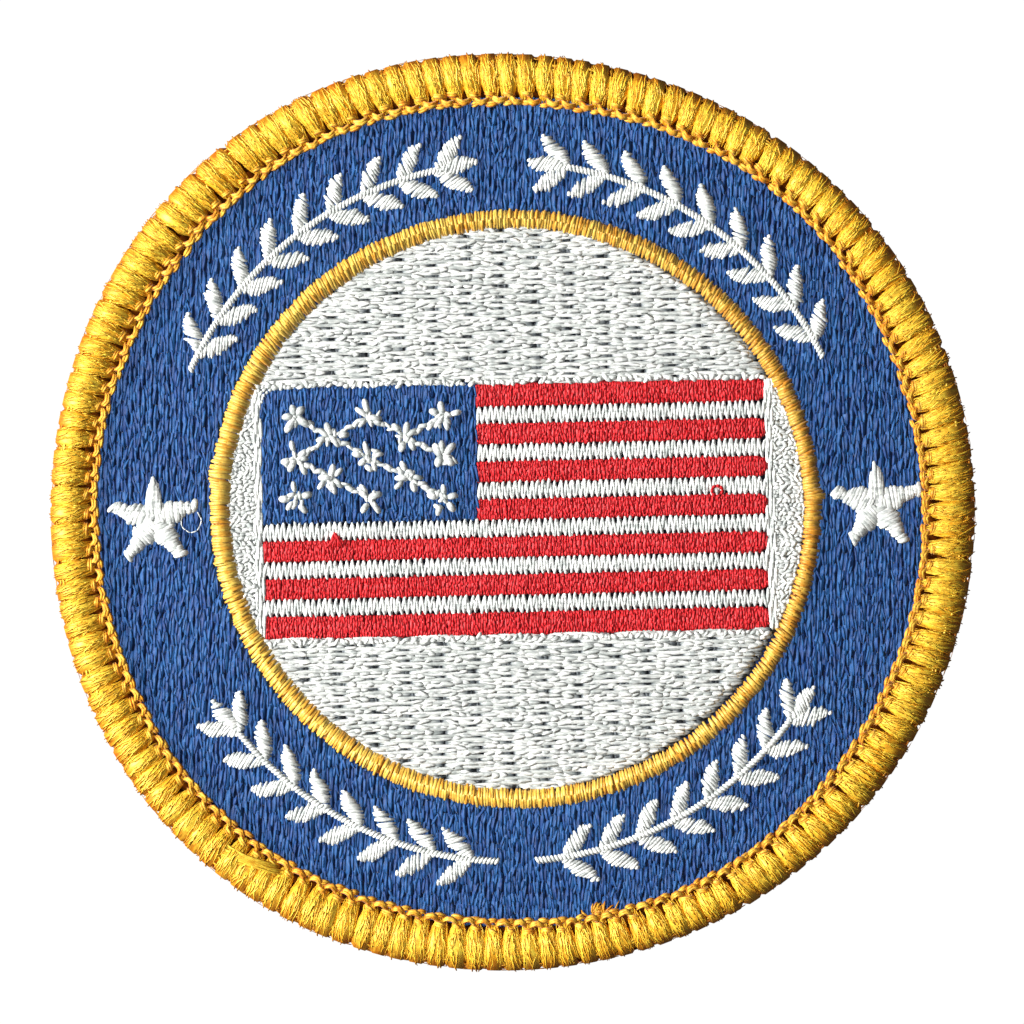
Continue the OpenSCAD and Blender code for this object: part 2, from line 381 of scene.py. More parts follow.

# %% [markdown]
# ## Thread
# Machine embroidery thread is shiny rayon or polyester. Its crown is bright, and it turns deep and
# dark where it dives between its neighbours, and that highlight and shade are painted into the
# colour, which follows the height kept on each point. A different tone for each stitch keeps the
# rows from looking printed. Fine streaks along the stitch stand for its fibres, and the same streaks
# drive a small bump. Soft patches of dull colour over all paint an uneven tone and sheen, and they
# are stretched along the stitches.

# %% Thread material
# How fast the streaks change along a thread, for each millimetre, and from one thread to the next
STREAK_ALONG, STREAK_APART = 1.3, 37.0


def thread_material(name, hole, deep, body, light, stitch, dull, rough=0.42, sheen=0.15, gloss=0.4,
                    streak=1.0, grain=14.0, mottle=(0.5, 0.5), glint=(255, 255, 255)):
    finish = Finish(name, {"Roughness": rough, "Sheen Weight": sheen, "Specular IOR Level": gloss,
                           "Specular Tint": linear(*glint)})
    lift = finish.add("Attribute", "Fac", attribute_name="lift")
    tone = finish.add("Attribute", "Fac", attribute_name="tone")
    along = finish.add("UVMap", "UV", uv_map="thread")
    parts = finish.add("SeparateXYZ", "X", {"Vector": along}).node
    place = finish.add("CombineXYZ", "Vector", {
        "X": finish.math("MULTIPLY", parts.outputs["X"], grain),
        "Y": finish.math("MULTIPLY", parts.outputs["Y"], STREAK_ALONG),
        "Z": finish.math("MULTIPLY", tone, STREAK_APART),
    })
    fibres = finish.add("TexNoise", "Fac", {"Vector": place, "Scale": 1.0, "Detail": 2.0})
    streaks = finish.math("MULTIPLY_ADD", fibres, 0.55 * streak, -0.27 * streak)
    depth = finish.math("ADD", lift, streaks)
    # Painted shade and highlight: hole and deep where a stitch dives, light on its crown
    thread = finish.ramp(depth, (0.0, linear(*hole)), (0.12, linear(*deep)), (0.55, linear(*body)),
                         last=(1.0, linear(*light)))
    per_stitch = finish.ramp(tone, (0.0, linear(*stitch)), last=(0.75, PLAIN))

    spot = finish.add("TexCoord", "Object")
    scale = (1 / (mottle[0] * MM), 1 / (mottle[1] * MM), 1 / MM)
    stretched = finish.add("Mapping", "Vector", {"Vector": spot, "Scale": scale})
    sockets = {"Vector": stretched, "Scale": 1.0, "Detail": 4.0, "Roughness": 0.65}
    # Random patches of dull colour, which paint an uneven tone and sheen
    patchy_tone_and_sheen = finish.ramp(finish.add("TexNoise", "Fac", sockets), (0.38, linear(*dull)), last=(0.56, PLAIN))
    colour = finish.multiply(finish.multiply(thread, per_stitch), patchy_tone_and_sheen)
    return finish.complete(colour, fibres, strength=0.35, distance=0.1 * MM)


print("streaks are about", round(1 / STREAK_ALONG, 2), "mm long")

# %% The threads of the patch
GOLD = thread_material(
    "gold_rayon", hole=(70, 40, 10), deep=(136, 76, 14), body=(180, 127, 33), light=(217, 187, 88),
    stitch=(255, 218, 160), dull=(232, 220, 205), rough=0.4, gloss=0.6, mottle=(0.4, 0.4),
    glint=(255, 248, 200))
YARN = thread_material(
    "gold_bulk_yarn", hole=(60, 30, 8), deep=(120, 58, 10), body=(182, 118, 18), light=(232, 203, 70),
    stitch=(252, 220, 150), dull=(232, 214, 190), rough=0.5, sheen=0.0, gloss=0.9, streak=1.3,
    grain=30.0, mottle=(0.35, 0.35), glint=(255, 248, 180))
CORD = thread_material(
    "gold_chain_thread", hole=(56, 26, 6), deep=(130, 66, 12), body=(194, 130, 22), light=(236, 198, 76),
    stitch=(252, 216, 140), dull=(214, 190, 160), rough=0.5, gloss=0.6, mottle=(0.35, 0.35),
    glint=(255, 248, 190))
BLUE = thread_material(
    "blue_rayon", hole=(11, 32, 74), deep=(12, 52, 100), body=(15, 66, 119), light=(27, 84, 137),
    stitch=(186, 200, 228), dull=(190, 196, 210), rough=0.5, gloss=0.27, mottle=(0.3, 0.9))
WHITE = thread_material(
    "white_rayon", hole=(26, 30, 36), deep=(130, 136, 140), body=(212, 214, 211), light=(237, 237, 232),
    stitch=(224, 227, 226), dull=(204, 207, 208), gloss=0.2, mottle=(0.8, 0.3))
RED = thread_material(
    "red_rayon", hole=(104, 12, 22), deep=(164, 24, 34), body=(188, 32, 42), light=(190, 40, 46),
    stitch=(255, 206, 208), dull=(216, 200, 200), sheen=0.03, gloss=0.2, mottle=(0.25, 0.35))
print("threads:", [m.name for m in (GOLD, YARN, CORD, BLUE, WHITE, RED)])

# %% [markdown]
# ## The ground cloth
# The patch starts as a disc of navy twill with a stiff backing. It shows only as dark slits between
# stitches, and plainly on the back. A flat disc is a circle pushed up to the cloth's thickness. Its
# rim is stepped down where the border grips it, as on the CAD model. The twill's slanting ribs are
# a wave pattern on the object's own coordinates, since nothing stretches this cloth. Two darker
# finishes of the same kind serve where the ground lies in shadow, under white and under gold.

# %% Twill material
def twill_material(name, dark, pale, sheen=0.1):
    finish = Finish(name, {"Roughness": 0.85, "Sheen Weight": sheen, "Specular IOR Level": 2 * sheen})
    spot = finish.add("TexCoord", "Object")
    sockets = {"Vector": spot, "Scale": 520.0, "Distortion": 1.2, "Detail": 2.0}
    ribs = finish.add("TexWave", "Fac", sockets, bands_direction="DIAGONAL")
    colour = finish.ramp(ribs, (0.0, linear(*dark)), last=(1.0, linear(*pale)))
    return finish.complete(colour, ribs, strength=0.5, distance=0.08 * MM)


TWILL = twill_material("navy_twill", (18, 34, 76), (30, 56, 108))
SHADED_CORE = twill_material("shaded_brown_core", (44, 20, 4), (84, 42, 8), sheen=0.0)
DARK = twill_material("dark_ground", (10, 12, 20), (24, 26, 34), sheen=0.0)
print("grounds:", [m.name for m in (TWILL, SHADED_CORE, DARK)])

# %% The disc of cloth
PRESSED_HIGH = 0.725
disc = bmesh.new()
bmesh.ops.create_circle(disc, cap_ends=True, segments=RIBS, radius=CLOTH_R * MM)
bmesh.ops.translate(disc, verts=disc.verts, vec=(0, 0, PRESSED_HIGH * MM))
top_face = disc.faces[:]
bmesh.ops.inset_region(disc, faces=top_face, thickness=(CLOTH_R - BORDER_IN + 0.05) * MM)
bmesh.ops.translate(disc, verts=top_face[0].verts, vec=(0, 0, (CLOTH_T - PRESSED_HIGH) * MM))
mirrored = bmesh.ops.duplicate(disc, geom=disc.verts[:] + disc.edges[:] + disc.faces[:])
lower = new_verts(mirrored)
bmesh.ops.transform(disc, matrix=Matrix.Diagonal((1, 1, -1, 1)), verts=lower)
bmesh.ops.translate(disc, verts=lower, vec=(0, 0, CLOTH_T * MM))
bmesh.ops.bridge_loops(disc, edges=[e for e in disc.edges if e.is_boundary])
cloth = mesh_piece("ground_twill", disc, TWILL, "ground_cloth", "ground_cloth", smooth=False)

# %% [markdown]
# ## The blue field
# The blue ring is a fill of upright rows. In each row the needle goes down about every two and a
# half millimetres, and the next row shifts its holes along, so that no seam of holes shows. Wide
# flat stitches give an even ground that covers the cloth. The real rows don't read as rows but as
# short strokes of light that slant a little to both sides, so such strokes are laid over them.

# %% Rows of fill stitches
def needle_marks(low, high, length, start, loose, rng):
    """Where the needle goes in along one row, between its two ends."""
    inner = np.arange(start + length * math.ceil((low - start) / length), high, length)
    inner = inner + rng.normal(0, loose * length / 2.5, len(inner))
    inner = inner[(inner > low + 0.3 * length) & (inner < high - 0.3 * length)]
    return np.concatenate([[low], np.sort(inner), [high]])


def fill(spans, rng, length, shift, loose=0.12, origin=0.0):
    """Stitches as columns of place across, start and end, for spans of (across, low, high)."""
    found = []
    for i, (place, low, high) in enumerate(spans):
        if high - low < 0.25:
            continue
        marks = needle_marks(low, high, length, origin + length * (i * shift % 1.0), loose, rng)
        found += [(place, a, b) for a, b in zip(marks[:-1], marks[1:])]
    return np.array(found).T


def flecks(spans, rng, shortest, longest):
    """Short overlapping strokes along each row, as the same three columns."""
    found = []
    for place, low, high in spans:
        here = low - shortest * rng.random()
        while here < high - 0.3 * shortest:
            reach = rng.uniform(shortest, longest)
            found.append((place, max(here, low), min(here + reach, high)))
            here += reach * rng.uniform(0.6, 0.95)
    return np.array(found).T


def slanted(spans, rng, shortest, longest, slant, loose):
    """The ends of upright strokes that slant a little to one side or the other."""
    x, y0, y1 = flecks(spans, rng, shortest, longest)
    slant = rng.normal(0, slant, len(x))
    x = x + rng.normal(0, loose, len(x))
    return ends(x - slant, y0, x + slant, y1)


def oval(away, along, across):
    """Half the width of an oval at a distance from its middle."""
    return across * math.sqrt(max(1 - (away / along) ** 2, 0))


print("needle marks along 10 mm:", needle_marks(0, 10, 2.45, 1, 0.45, np.random.default_rng(1)).round(1))

# %% Blue fill
BLUE_LENGTH, BLUE_PITCH, BLUE_STROKE_PITCH = 2.45, 0.5, 0.34
OVERLAP = 0.16


def blue_spans(pitch):
    outer, inner = CHAIN_IN + 0.35, RING_OUT - 0.1
    spans = []
    for x in np.arange(-outer + pitch / 2, outer, pitch):
        top = oval(x, outer, outer)
        hole = oval(x - CENTRE[0], inner * RING_WIDER, inner * RING_LOWER)
        if hole > 0:
            spans += [(x, CENTRE[1] + hole, top), (x, -top, CENTRE[1] - hole)]
        else:
            spans.append((x, -top, top))
    return spans


def blue_batches(spans, length, stroke_spans, rng, sew=sewn):
    """Wide flat stitches for the ground, and short slanting strokes of thread over them."""
    x, y0, y1 = fill(spans, rng, length, shift=0.382, loose=0.45)
    n = len(x)
    start, end = ends(x - 0.1 + rng.normal(0, 0.05, n), y0 - OVERLAP,
                      x + 0.1 + rng.normal(0, 0.05, n), y1 + OVERLAP)
    ground = sew(start, end, rng, rise=0.24, low=FIELD_Z + 0.04, sway=0.06)
    start, end = slanted(stroke_spans, rng, shortest=0.9, longest=1.7, slant=0.1, loose=0.06)
    low = FIELD_Z + 0.17 + 0.06 * rng.random(len(start))
    strokes = sew(start, end, rng, rise=0.14, low=low, sway=0.04)
    return [
        lay(FLECK, ground, rng, wide=about(0.62), high=0.1, soft=0.6),
        lay(HAIR, strokes, rng, wide=(0.22, 0.38), high=0.08, soft=0.6),
    ]


blue_rng = np.random.default_rng(11)
blue_stitches = blue_batches(blue_spans(BLUE_PITCH), BLUE_LENGTH, blue_spans(BLUE_STROKE_PITCH), blue_rng)
make_piece("blue_fill", blue_stitches, BLUE, "blue_thread", "blue_field")

# %% [markdown]
# ## The white centre
# The white fill lies level, in rows along the flag. Its stitches are long, with every second row
# shifted by half a stitch, so the needle holes stand in columns. At each hole the thread dives, and
# a small dark lens of cloth shows. Its shade is painted on the ends of the plies, with a longer grey
# tail where a stitch ends. Each stitch here is two loose plies side by side. Short crimps lie over
# them and break up their straight lines, and a few upright stitches lie under them, as on the real
# patch, where an underlay goes down first. The whole design is turned on the patch by a little more
# than a degree, so it is drawn level and turned as it is sewn.

# %% The tilt of the design
TILT_TURN = np.array([[math.cos(TILT), math.sin(TILT)], [-math.sin(TILT), math.cos(TILT)]])


def tilted(points, middle):
    """Turns points by the tilt and moves them to their place on the patch."""
    return np.asarray(points) @ TILT_TURN + middle


def on_flag(points):
    """From the flag's own level frame to the patch."""
    return tilted(points, CENTRE)


def flag_sewn(start, end, *rest, **more):
    """Sewn curves whose ends are given in the flag's own level frame."""
    return sewn(on_flag(start), on_flag(end), *rest, **more)


print("the flag's upper right corner:", on_flag([(FLAG_X, FLAG_Y)]).round(2))

# %% Long white stitches
WHITE_LENGTH, WHITE_PITCH = 5.64, 0.456
COLUMN_AT = 2.2
RAGGED = 0.1
# Each ply's place off the middle, its width, and how much higher it rises
WHITE_PLIES = ((-0.12, 0.34, 0.0), (0.12, 0.34, 0.02))
# The painted shade at a needle hole: its half-length, and how softly it ends before and behind the hole
HOLE = (0.6, 0.7, 0.2)


def white_rows(low, high, pitch, left=-math.inf, right=math.inf):
    """Level rows inside the white centre, which is a little wider than a circle."""
    radius = RING_IN + 0.05
    spans = []
    for y in np.arange(low + pitch / 2, high, pitch):
        half = oval(y, radius * RING_LOWER, radius * RING_WIDER)
        spans.append((y, max(left, -half), min(right, half)))
    return spans


def white_batches(spans, length, seed, hole, rng):
    """Two plies for every stitch, and the rows that the stitches lie in."""
    y, x0, x1 = fill(spans, rng, length, shift=0.5, loose=0.06, origin=COLUMN_AT)
    n = len(y)
    half, tail, lip = hole
    dark = half * rng.uniform(0.5, 1.2, n)[:, None]
    reach = (x1 - x0)[:, None]

    # Painted shade on the ends of the plies, where they dive into a needle hole
    def painted_hole_shade(t):
        return np.clip(np.minimum((t * reach - 0.6 * dark) / lip, ((1 - t) * reach - dark) / tail), 0, 1)

    batches = []
    for offset, width, raised in WHITE_PLIES:
        level = y + 0.3 * offset
        start, end = ends(x0 + RAGGED * (rng.random(n) - 0.5), level + rng.normal(0, 0.02, n),
                          x1 + RAGGED * (rng.random(n) - 0.5), level + rng.normal(0, 0.02, n))
        path = flag_sewn(start, end, rng, rise=0.22 + raised, low=FIELD_Z + 0.04, sway=0.07,
                         bow=1.9 * offset, arch=SLOPE)
        batches.append(lay(seed, path, rng, wide=about(width), high=0.1, shade=painted_hole_shade, soft=0.5))
    return batches, zip(y, x0, x1)


print("rows of white above the flag:", len(white_rows(FLAG_Y, RING_IN, WHITE_PITCH)))

# %% Crimps, underlay and edge
UNDERLAY_PITCH, UNDERLAY_LENGTH, BUMP_STEP = 0.52, 4.2, 0.42


def crimps(stitches, rng):
    """The short soft swellings along each long stitch, which break up its straight lines."""
    starts, finals = [], []
    for y, x0, x1 in stitches:
        x = x0 + 0.45
        while x < x1 - 1.1:
            reach = rng.uniform(0.7, 1.4)
            drop, slant = rng.normal(0, 0.09), rng.normal(0, 0.07)
            starts.append((x, y + drop - slant))
            finals.append((min(x + reach, x1 - 0.55), y + drop + slant))
            x += reach * rng.uniform(0.6, 1.0)
    low = FIELD_Z + 0.16 + 0.05 * rng.random(len(starts))
    path = flag_sewn(starts, finals, rng, rise=0.1, low=low, sway=0.05)
    return lay(FLECK, path, rng, wide=(0.3, 0.5), high=0.05, soft=0.6)


def underlay(low, high, rng):
    """Loose upright stitches that go down first, so that few gaps reach the dark cloth."""
    spans = []
    for x in np.arange(-RING_IN + 0.3, RING_IN, UNDERLAY_PITCH):
        top = oval(x, RING_IN * RING_WIDER, RING_IN * RING_LOWER)
        if min(high, top) > max(low, -top):
            spans.append((x, max(low, -top), min(high, top)))
    x, y0, y1 = fill(spans, rng, length=UNDERLAY_LENGTH, shift=0.37, loose=0.5)
    n = len(x)
    start, end = ends(x + rng.normal(0, 0.06, n), y0, x + rng.normal(0, 0.06, n), y1)
    path = flag_sewn(start, end, rng, rise=0.06, low=FIELD_Z, sway=0.08)
    # Painted almost wholly in shade, as the underlay shows only in dark gaps
    return lay(THIN, path, rng, wide=(0.34, 0.5), high=0.12, shade=0.08)


def edge_bumps(level, rng):
    """Small knobs of thread where the fill's last row turns back over the edge of the flag."""
    x = np.arange(-FLAG_X, FLAG_X, BUMP_STEP)
    n = len(x)
    x = x + rng.normal(0, 0.1, n)
    middle = np.stack([x, level + rng.normal(0, 0.09, n)], 1)
    way = polar(rng.normal(0, 0.6, n))
    reach = rng.uniform(0.25, 0.4, n)[:, None] * way
    path = flag_sewn(middle - reach, middle + reach, rng, rise=0.3, low=FIELD_Z + 0.1, sway=0.03)
    return lay(FAT, path, rng, wide=(0.28, 0.42), high=0.24, soft=0.3)


print("bumps along an edge of the flag:", math.ceil(2 * FLAG_X / BUMP_STEP))

# %% The dark bed under the white
# The ground seen through the white is deep in shadow, so it is darker than the open cloth
BED_T = 0.04
bed_shape = bmesh.new()
bmesh.ops.create_circle(bed_shape, cap_ends=True, segments=96, radius=RING_IN * MM)
bed_top = bmesh.ops.extrude_face_region(bed_shape, geom=bed_shape.faces[:])
bmesh.ops.translate(bed_shape, verts=new_verts(bed_top), vec=(0, 0, BED_T * MM))
bed_place = (CENTRE[0] * MM, CENTRE[1] * MM, (FIELD_Z - 0.03) * MM)
bmesh.ops.translate(bed_shape, verts=bed_shape.verts, vec=bed_place)
mesh_piece("centre_bed", bed_shape, DARK, "ground_cloth", smooth=False)

# %% White above and below the flag
white_rng = np.random.default_rng(23)
for name, low, high, edge in (
    ("upper", FLAG_Y, RING_IN, FLAG_Y + 0.1),
    ("lower", -RING_IN, -FLAG_Y, -FLAG_Y - 0.2),
):
    rows = white_rows(low, high, WHITE_PITCH)
    batches, stitches = white_batches(rows, WHITE_LENGTH, LONG, HOLE, white_rng)
    batches.append(crimps(stitches, white_rng))
    batches.append(underlay(low, high, white_rng))
    batches.append(edge_bumps(edge, white_rng))
    make_piece(f"white_fill_{name}", batches, WHITE, "white_thread", f"white_field_{name}")

# %% [markdown]
# ## White beside the flag
# The slivers between the flag's ends and the gold ring are too narrow for long stitches. The real
# ones are a mass of short level stitches in all directions, so their rows are closer, their
# stitches shorter, and slanting flecks take the place of the crimps.

# %% White beside the flag
# The painted shade at the needle holes is shorter beside the flag
SIDE_LENGTH, SIDE_PITCH, SIDE_HOLE = 1.5, 0.36, (0.2, 0.3, 0.1)
side_limit = FLAG_X + EDGE_W - 0.1
for name, limit in (("left", {"right": -side_limit}), ("right", {"left": side_limit})):
    rows = white_rows(-FLAG_Y, FLAG_Y, SIDE_PITCH, **limit)
    batches, _ = white_batches(rows, SIDE_LENGTH, FLECK, SIDE_HOLE, white_rng)
    y, x0, x1 = flecks(rows, white_rng, shortest=0.4, longest=0.8)
    n = len(y)
    tip = white_rng.normal(0, 0.16, n)
    level = FIELD_Z + 0.16 + 0.08 * white_rng.random(n)
    path = flag_sewn(*ends(x0, y - tip, x1, y + tip), white_rng, rise=0.12, low=level, sway=0.05)
    batches.append(lay(FLECK, path, white_rng, wide=(0.26, 0.44), high=0.1, soft=0.4))
    make_piece(f"white_fill_{name}", batches, WHITE, "white_thread", f"white_field_{name}")

# %% [markdown]
# ## The gold ring
# A satin ring is one thread that runs to and fro between two circles. Each pass leans a little, so
# its ends make the small teeth that bite into the blue and the white. The real ring isn't quite
# round, its width changes, and its thread is bunched at two places, all of which a plain spin
# would lose, so each pass is placed by its own angle. Long stitches under the satin pad it and
# close its gaps, as the machine's own padding does.

# %% Satin of the ring
OVAL_SHARE, OVAL_TURN = 0.0116, math.radians(24)
PASSES = 700
# Two places where the ring's thread bunched up: angle, extra length and half-width
BUNCHES = ((2.5, 0.5, 1.3), (173.0, 0.32, 2.5))


def ring_point(angle, radius):
    return CENTRE + polar(angle, radius * (1 + OVAL_SHARE * np.cos(2 * angle + OVAL_TURN)))


ring_rng = np.random.default_rng(31)
turns = 2 * math.pi * (np.arange(PASSES) + ring_rng.normal(0, 0.15, PASSES)) / PASSES
zigzag = np.where(np.arange(PASSES) % 2, -0.04, 0.04)
slow_lean = 0.12 * np.sin(2 * turns) + 0.06 * np.sin(7 * turns + 1.0)
lean = (zigzag + slow_lean + ring_rng.normal(0, 0.06, PASSES)) / RING_OUT
inward = 0.22 - 0.16 * np.cos(turns)
degrees = np.degrees(turns)
bunched = sum(more * np.exp(-(((degrees - angle) / half) ** 2)) for angle, more, half in BUNCHES)
ring_start = ring_point(turns - lean, RING_IN - inward + ring_rng.normal(0, 0.06, PASSES))
ring_end = ring_point(turns + lean, RING_OUT + 0.08 + bunched + ring_rng.normal(0, 0.07, PASSES))
ring_path = sewn(ring_start, ring_end, ring_rng, rise=0.75, low=FIELD_Z + 0.03, sway=0.04, arch=DOME)
# Painted shade: the satin is darker on the ring's right side, away from the light
painted_right_shade = 1 - 0.22 * np.clip(np.cos(turns), 0, 1)[:, None]
satin = lay(POINTED, ring_path, ring_rng, wide=(0.3, 0.42), high=0.07, soft=0.7, shade=painted_right_shade)
print("passes of satin:", PASSES, "one every", round(2 * math.pi * RING_OUT / PASSES, 3), "mm")

# %% Padding of the ring
PAD_ROUNDS, PAD_TURNS = 4, 52
pad_turn = np.tile(np.arange(PAD_TURNS) * 2 * math.pi / PAD_TURNS, PAD_ROUNDS)
pad_radius = np.repeat(np.linspace(RING_IN + 0.4, RING_OUT - 0.3, PAD_ROUNDS), PAD_TURNS)
pad_end = ring_point(pad_turn + 2.5 * math.pi / PAD_TURNS, pad_radius)
pad_path = sewn(ring_point(pad_turn, pad_radius), pad_end, ring_rng, rise=0.32, low=FIELD_Z, bow=-0.04)
# The padding is painted half in shade, as it lies under the satin
padding = lay(THIN, pad_path, ring_rng, wide=0.5, high=0.34, shade=0.45)
make_piece("gold_satin_ring", [satin, padding], GOLD, "gold_thread", "gold_ring")

# %% [markdown]
# ## The flag's stripes
# The red stripes are upright rows side by side, whose ends reach a little over the dark cloth above
# and below. Short thin strokes over them give their silky look. The white stripes are an open
# zigzag, sewn after the red ones, so their points reach over the red and the dark cloth shows
# between them. Long level stitches lie under both, in one helper, and a narrow band of them shows
# along the middle of a white stripe.

# %% Parts that the stripes share
UNDER_PITCH, UNDER_LENGTH = 0.3, 3.0
CUT_DEEP, CUT_WIDE = 0.6, 0.8


def stripe_top(index):
    return FLAG_Y - (0 if index == 0 else OUTER_STRIPE_H + (index - 1) * STRIPE_H)


def under_rows(x0, x1, low, high, rng, level=0.0, shade=0.7):
    """Rows of long level stitches under a stripe, darkened by a painted shade."""
    rows = [(y, x0, x1) for y in np.arange(low + 0.2, high - 0.1, UNDER_PITCH)]
    y, a, b = fill(rows, rng, length=UNDER_LENGTH, shift=0.4)
    path = flag_sewn(*ends(a, y, b, y), rng, rise=0.06, low=FIELD_Z + level)
    return lay(FLECK, path, rng, wide=0.4, high=0.12, shade=shade)


def corner_cut(x):
    """How much shorter a red row is beside the flag's right end, where the corners are rounded."""
    return CUT_DEEP * np.clip(1 - (FLAG_X - x) / CUT_WIDE, 0, 1) ** 2


print("a stripe's top and bottom:", round(stripe_top(1), 3), round(stripe_top(2), 3))

# %% Red satin
RED_PITCH, RED_STROKE_PITCH, RED_OVER = 0.34, 0.2, 0.15


def red_batches(x0, x1, low, high, below, above, rng):
    """Level rows, upright satin that reaches below and above them, and thin strokes on top."""
    x = np.arange(x0 + RED_PITCH / 2, x1, RED_PITCH)
    n = len(x)
    y0 = low - below + corner_cut(x) + rng.normal(0, 0.06, n)
    y1 = high + above - corner_cut(x) + rng.normal(0, 0.06, n)
    start, end = ends(x - 0.05 + rng.normal(0, 0.02, n), y0, x + 0.05 + rng.normal(0, 0.02, n), y1)
    path = flag_sewn(start, end, rng, rise=0.24, low=FIELD_Z + 0.04, sway=0.05)
    rows = under_rows(x0, x1, low, high, rng)
    upright = lay(FLECK, path, rng, wide=about(0.62), high=0.06, soft=0.8)
    x = np.arange(x0 + 0.1, x1, RED_STROKE_PITCH)
    edge = 0.08 + corner_cut(x)
    spans = zip(x, low - below + edge, high + above - edge)
    start, end = slanted(spans, rng, shortest=0.45, longest=0.9, slant=0.06, loose=0.04)
    path = flag_sewn(start, end, rng, rise=0.06, low=FIELD_Z + 0.2 + 0.05 * rng.random(len(start)))
    return [rows, upright, lay(HAIR, path, rng, wide=(0.2, 0.34), high=0.03, soft=0.85)]


print("rows of red across the flag:", round(2 * FLAG_X / RED_PITCH))

# %% White zigzag
ZIGZAG_PITCH, ZIGZAG_LEAN = 0.235, 0.14


def zigzag_batches(x0, x1, low, high, rng):
    """Slanting passes to and fro, over a few raised level rows."""
    x = np.arange(x0 + ZIGZAG_PITCH / 2, x1, ZIGZAG_PITCH)
    n = len(x)
    lean = np.where(np.arange(n) % 2, -1, 1) * (ZIGZAG_LEAN + rng.normal(0, 0.03, n))
    start, end = ends(x - lean, low - 0.02 + rng.normal(0, 0.08, n),
                      x + lean, high + 0.02 + rng.normal(0, 0.08, n))
    path = flag_sewn(start, end, rng, rise=0.34, low=FIELD_Z + 0.04, sway=0.05)
    rows = under_rows(x0, x1, low + 0.3, high - 0.4, rng, level=0.17, shade=0.95)
    return [rows, lay(POINTED, path, rng, wide=(0.32, 0.42), high=0.2, soft=0.15)]


print("passes of white across the flag:", round(2 * FLAG_X / ZIGZAG_PITCH))

# %% The thirteen stripes
STRIPES, BESIDE_CANTON, STRIPE_INSET = 13, 7, 0.08
flag_rng = np.random.default_rng(41)
for index in range(STRIPES):
    number = index // 2 + 1
    lowest = index == STRIPES - 1
    high = stripe_top(index)
    low = -FLAG_Y if lowest else stripe_top(index + 1)
    x0 = -FLAG_X + (CANTON_L if index < BESIDE_CANTON else 0.0) + STRIPE_INSET
    x1 = FLAG_X - STRIPE_INSET
    if index % 2:
        stripe = f"white_stripe_{number}"
        batches = zigzag_batches(x0, x1, low, high, flag_rng)
        make_piece(f"{stripe}_zigzag", batches, WHITE, "white_thread", stripe)
    else:
        stripe = f"red_stripe_{number}"
        below, above = (0.0 if lowest else RED_OVER), (0.0 if index == 0 else RED_OVER)
        batches = red_batches(x0, x1, low, high, below, above, flag_rng)
        make_piece(f"{stripe}_satin", batches, RED, "red_thread", stripe)

# %% [markdown]
# ## The edges of the flag
# A narrow white column closes each end of the flag and hides the ends of the stripes. It is sewn
# as long upright stitches that overlap, because satin across so narrow a column would be too short
# to hold. Five lines of stitches fill its width, the last of them over the middle of the others.

# %% Edges of the flag
for name, x0 in (("flag_edge_left", -FLAG_X - EDGE_W), ("flag_edge_right", FLAG_X)):
    spans = [(x0 + EDGE_W * share, -FLAG_Y, FLAG_Y) for share in (0.0, 0.3, 0.6, 0.9, 0.45)]
    x, y0, y1 = fill(spans, flag_rng, length=2.6, shift=0.41, loose=0.3)
    n = len(x)
    start, end = ends(x + flag_rng.normal(0, 0.04, n), y0, x + flag_rng.normal(0, 0.04, n), y1)
    path = flag_sewn(start, end, flag_rng, rise=0.3, low=FIELD_Z + 0.02, sway=0.04)
    edge_satin = lay(LONG, path, flag_rng, wide=0.34, high=0.2, soft=0.55)
    make_piece(f"{name}_satin", [edge_satin], WHITE, "white_thread", name)

# %% [markdown]
# ## The canton
# The canton is a small upright fill, sewn like the blue ring, so the same function makes it with
# shorter stitches and closer strokes, with a ground row under every second one. Its upper left
# corner is rounded, and a few bent white stitches carry the flag's white edge round it.

# %% Canton
CORNER_R = 1.35
CANTON_LENGTH, CANTON_STROKE_PITCH = 1.9, 0.27
canton_spans = []
for x in np.arange(-FLAG_X + 0.2, -FLAG_X + CANTON_L, CANTON_STROKE_PITCH):
    away = max(CORNER_R - (x + FLAG_X), 0)
    top = FLAG_Y - (CORNER_R - oval(away, CORNER_R, CORNER_R))
    canton_spans.append((x, FLAG_Y - CANTON_H, top))
canton = blue_batches(canton_spans[::2], CANTON_LENGTH, canton_spans, flag_rng, flag_sewn)
make_piece("canton_fill", canton, BLUE, "blue_thread", "canton")

# %% White round the canton's corner
CORNER_PARTS = 6
bends = np.radians(np.linspace(180, 90, CORNER_PARTS + 1))
corner_middle = np.array([-FLAG_X + CORNER_R, FLAG_Y - CORNER_R])
corner_batches = []
for radius in (CORNER_R - 0.08, CORNER_R + 0.2, CORNER_R + 0.48):
    points = corner_middle + polar(bends, radius)
    wander = flag_rng.normal(0, 0.04, (2, CORNER_PARTS, 2))
    start, end = points[:-1] + wander[0], points[1:] + wander[1]
    path = flag_sewn(start, end, flag_rng, rise=0.26, low=FIELD_Z + 0.06, bow=-0.03)
    corner_batches.append(lay(THIN, path, flag_rng, wide=0.34, high=0.26, soft=0.2))
make_piece("canton_corner", corner_batches, WHITE, "white_thread")

# %% [markdown]
# ## The small stars
# At this size a machine can't sew a true star. Two of the thirteen come out with five clear arms,
# and the others are knots with short tips that point anywhere. So two stars are five fat stitches
# from one middle, and the rest are five short tips round it, with a heap of round lumps on each.
# They lie a little deeper in their own shadow than a wide satin field, so all are shaded alike.

# %% Small stars
STAR_PLACES = [(c, r) for r in range(5) for c in range(r % 2, 5, 2)]
STAR_STEP = np.array([3.075, 1.693])
STAR_INSET = np.array([2.75, 2.55])
FULL_STARS = (1, 8)
STAR_LOW = RAISED_Z - 0.05
STAR_SHADE = 0.76


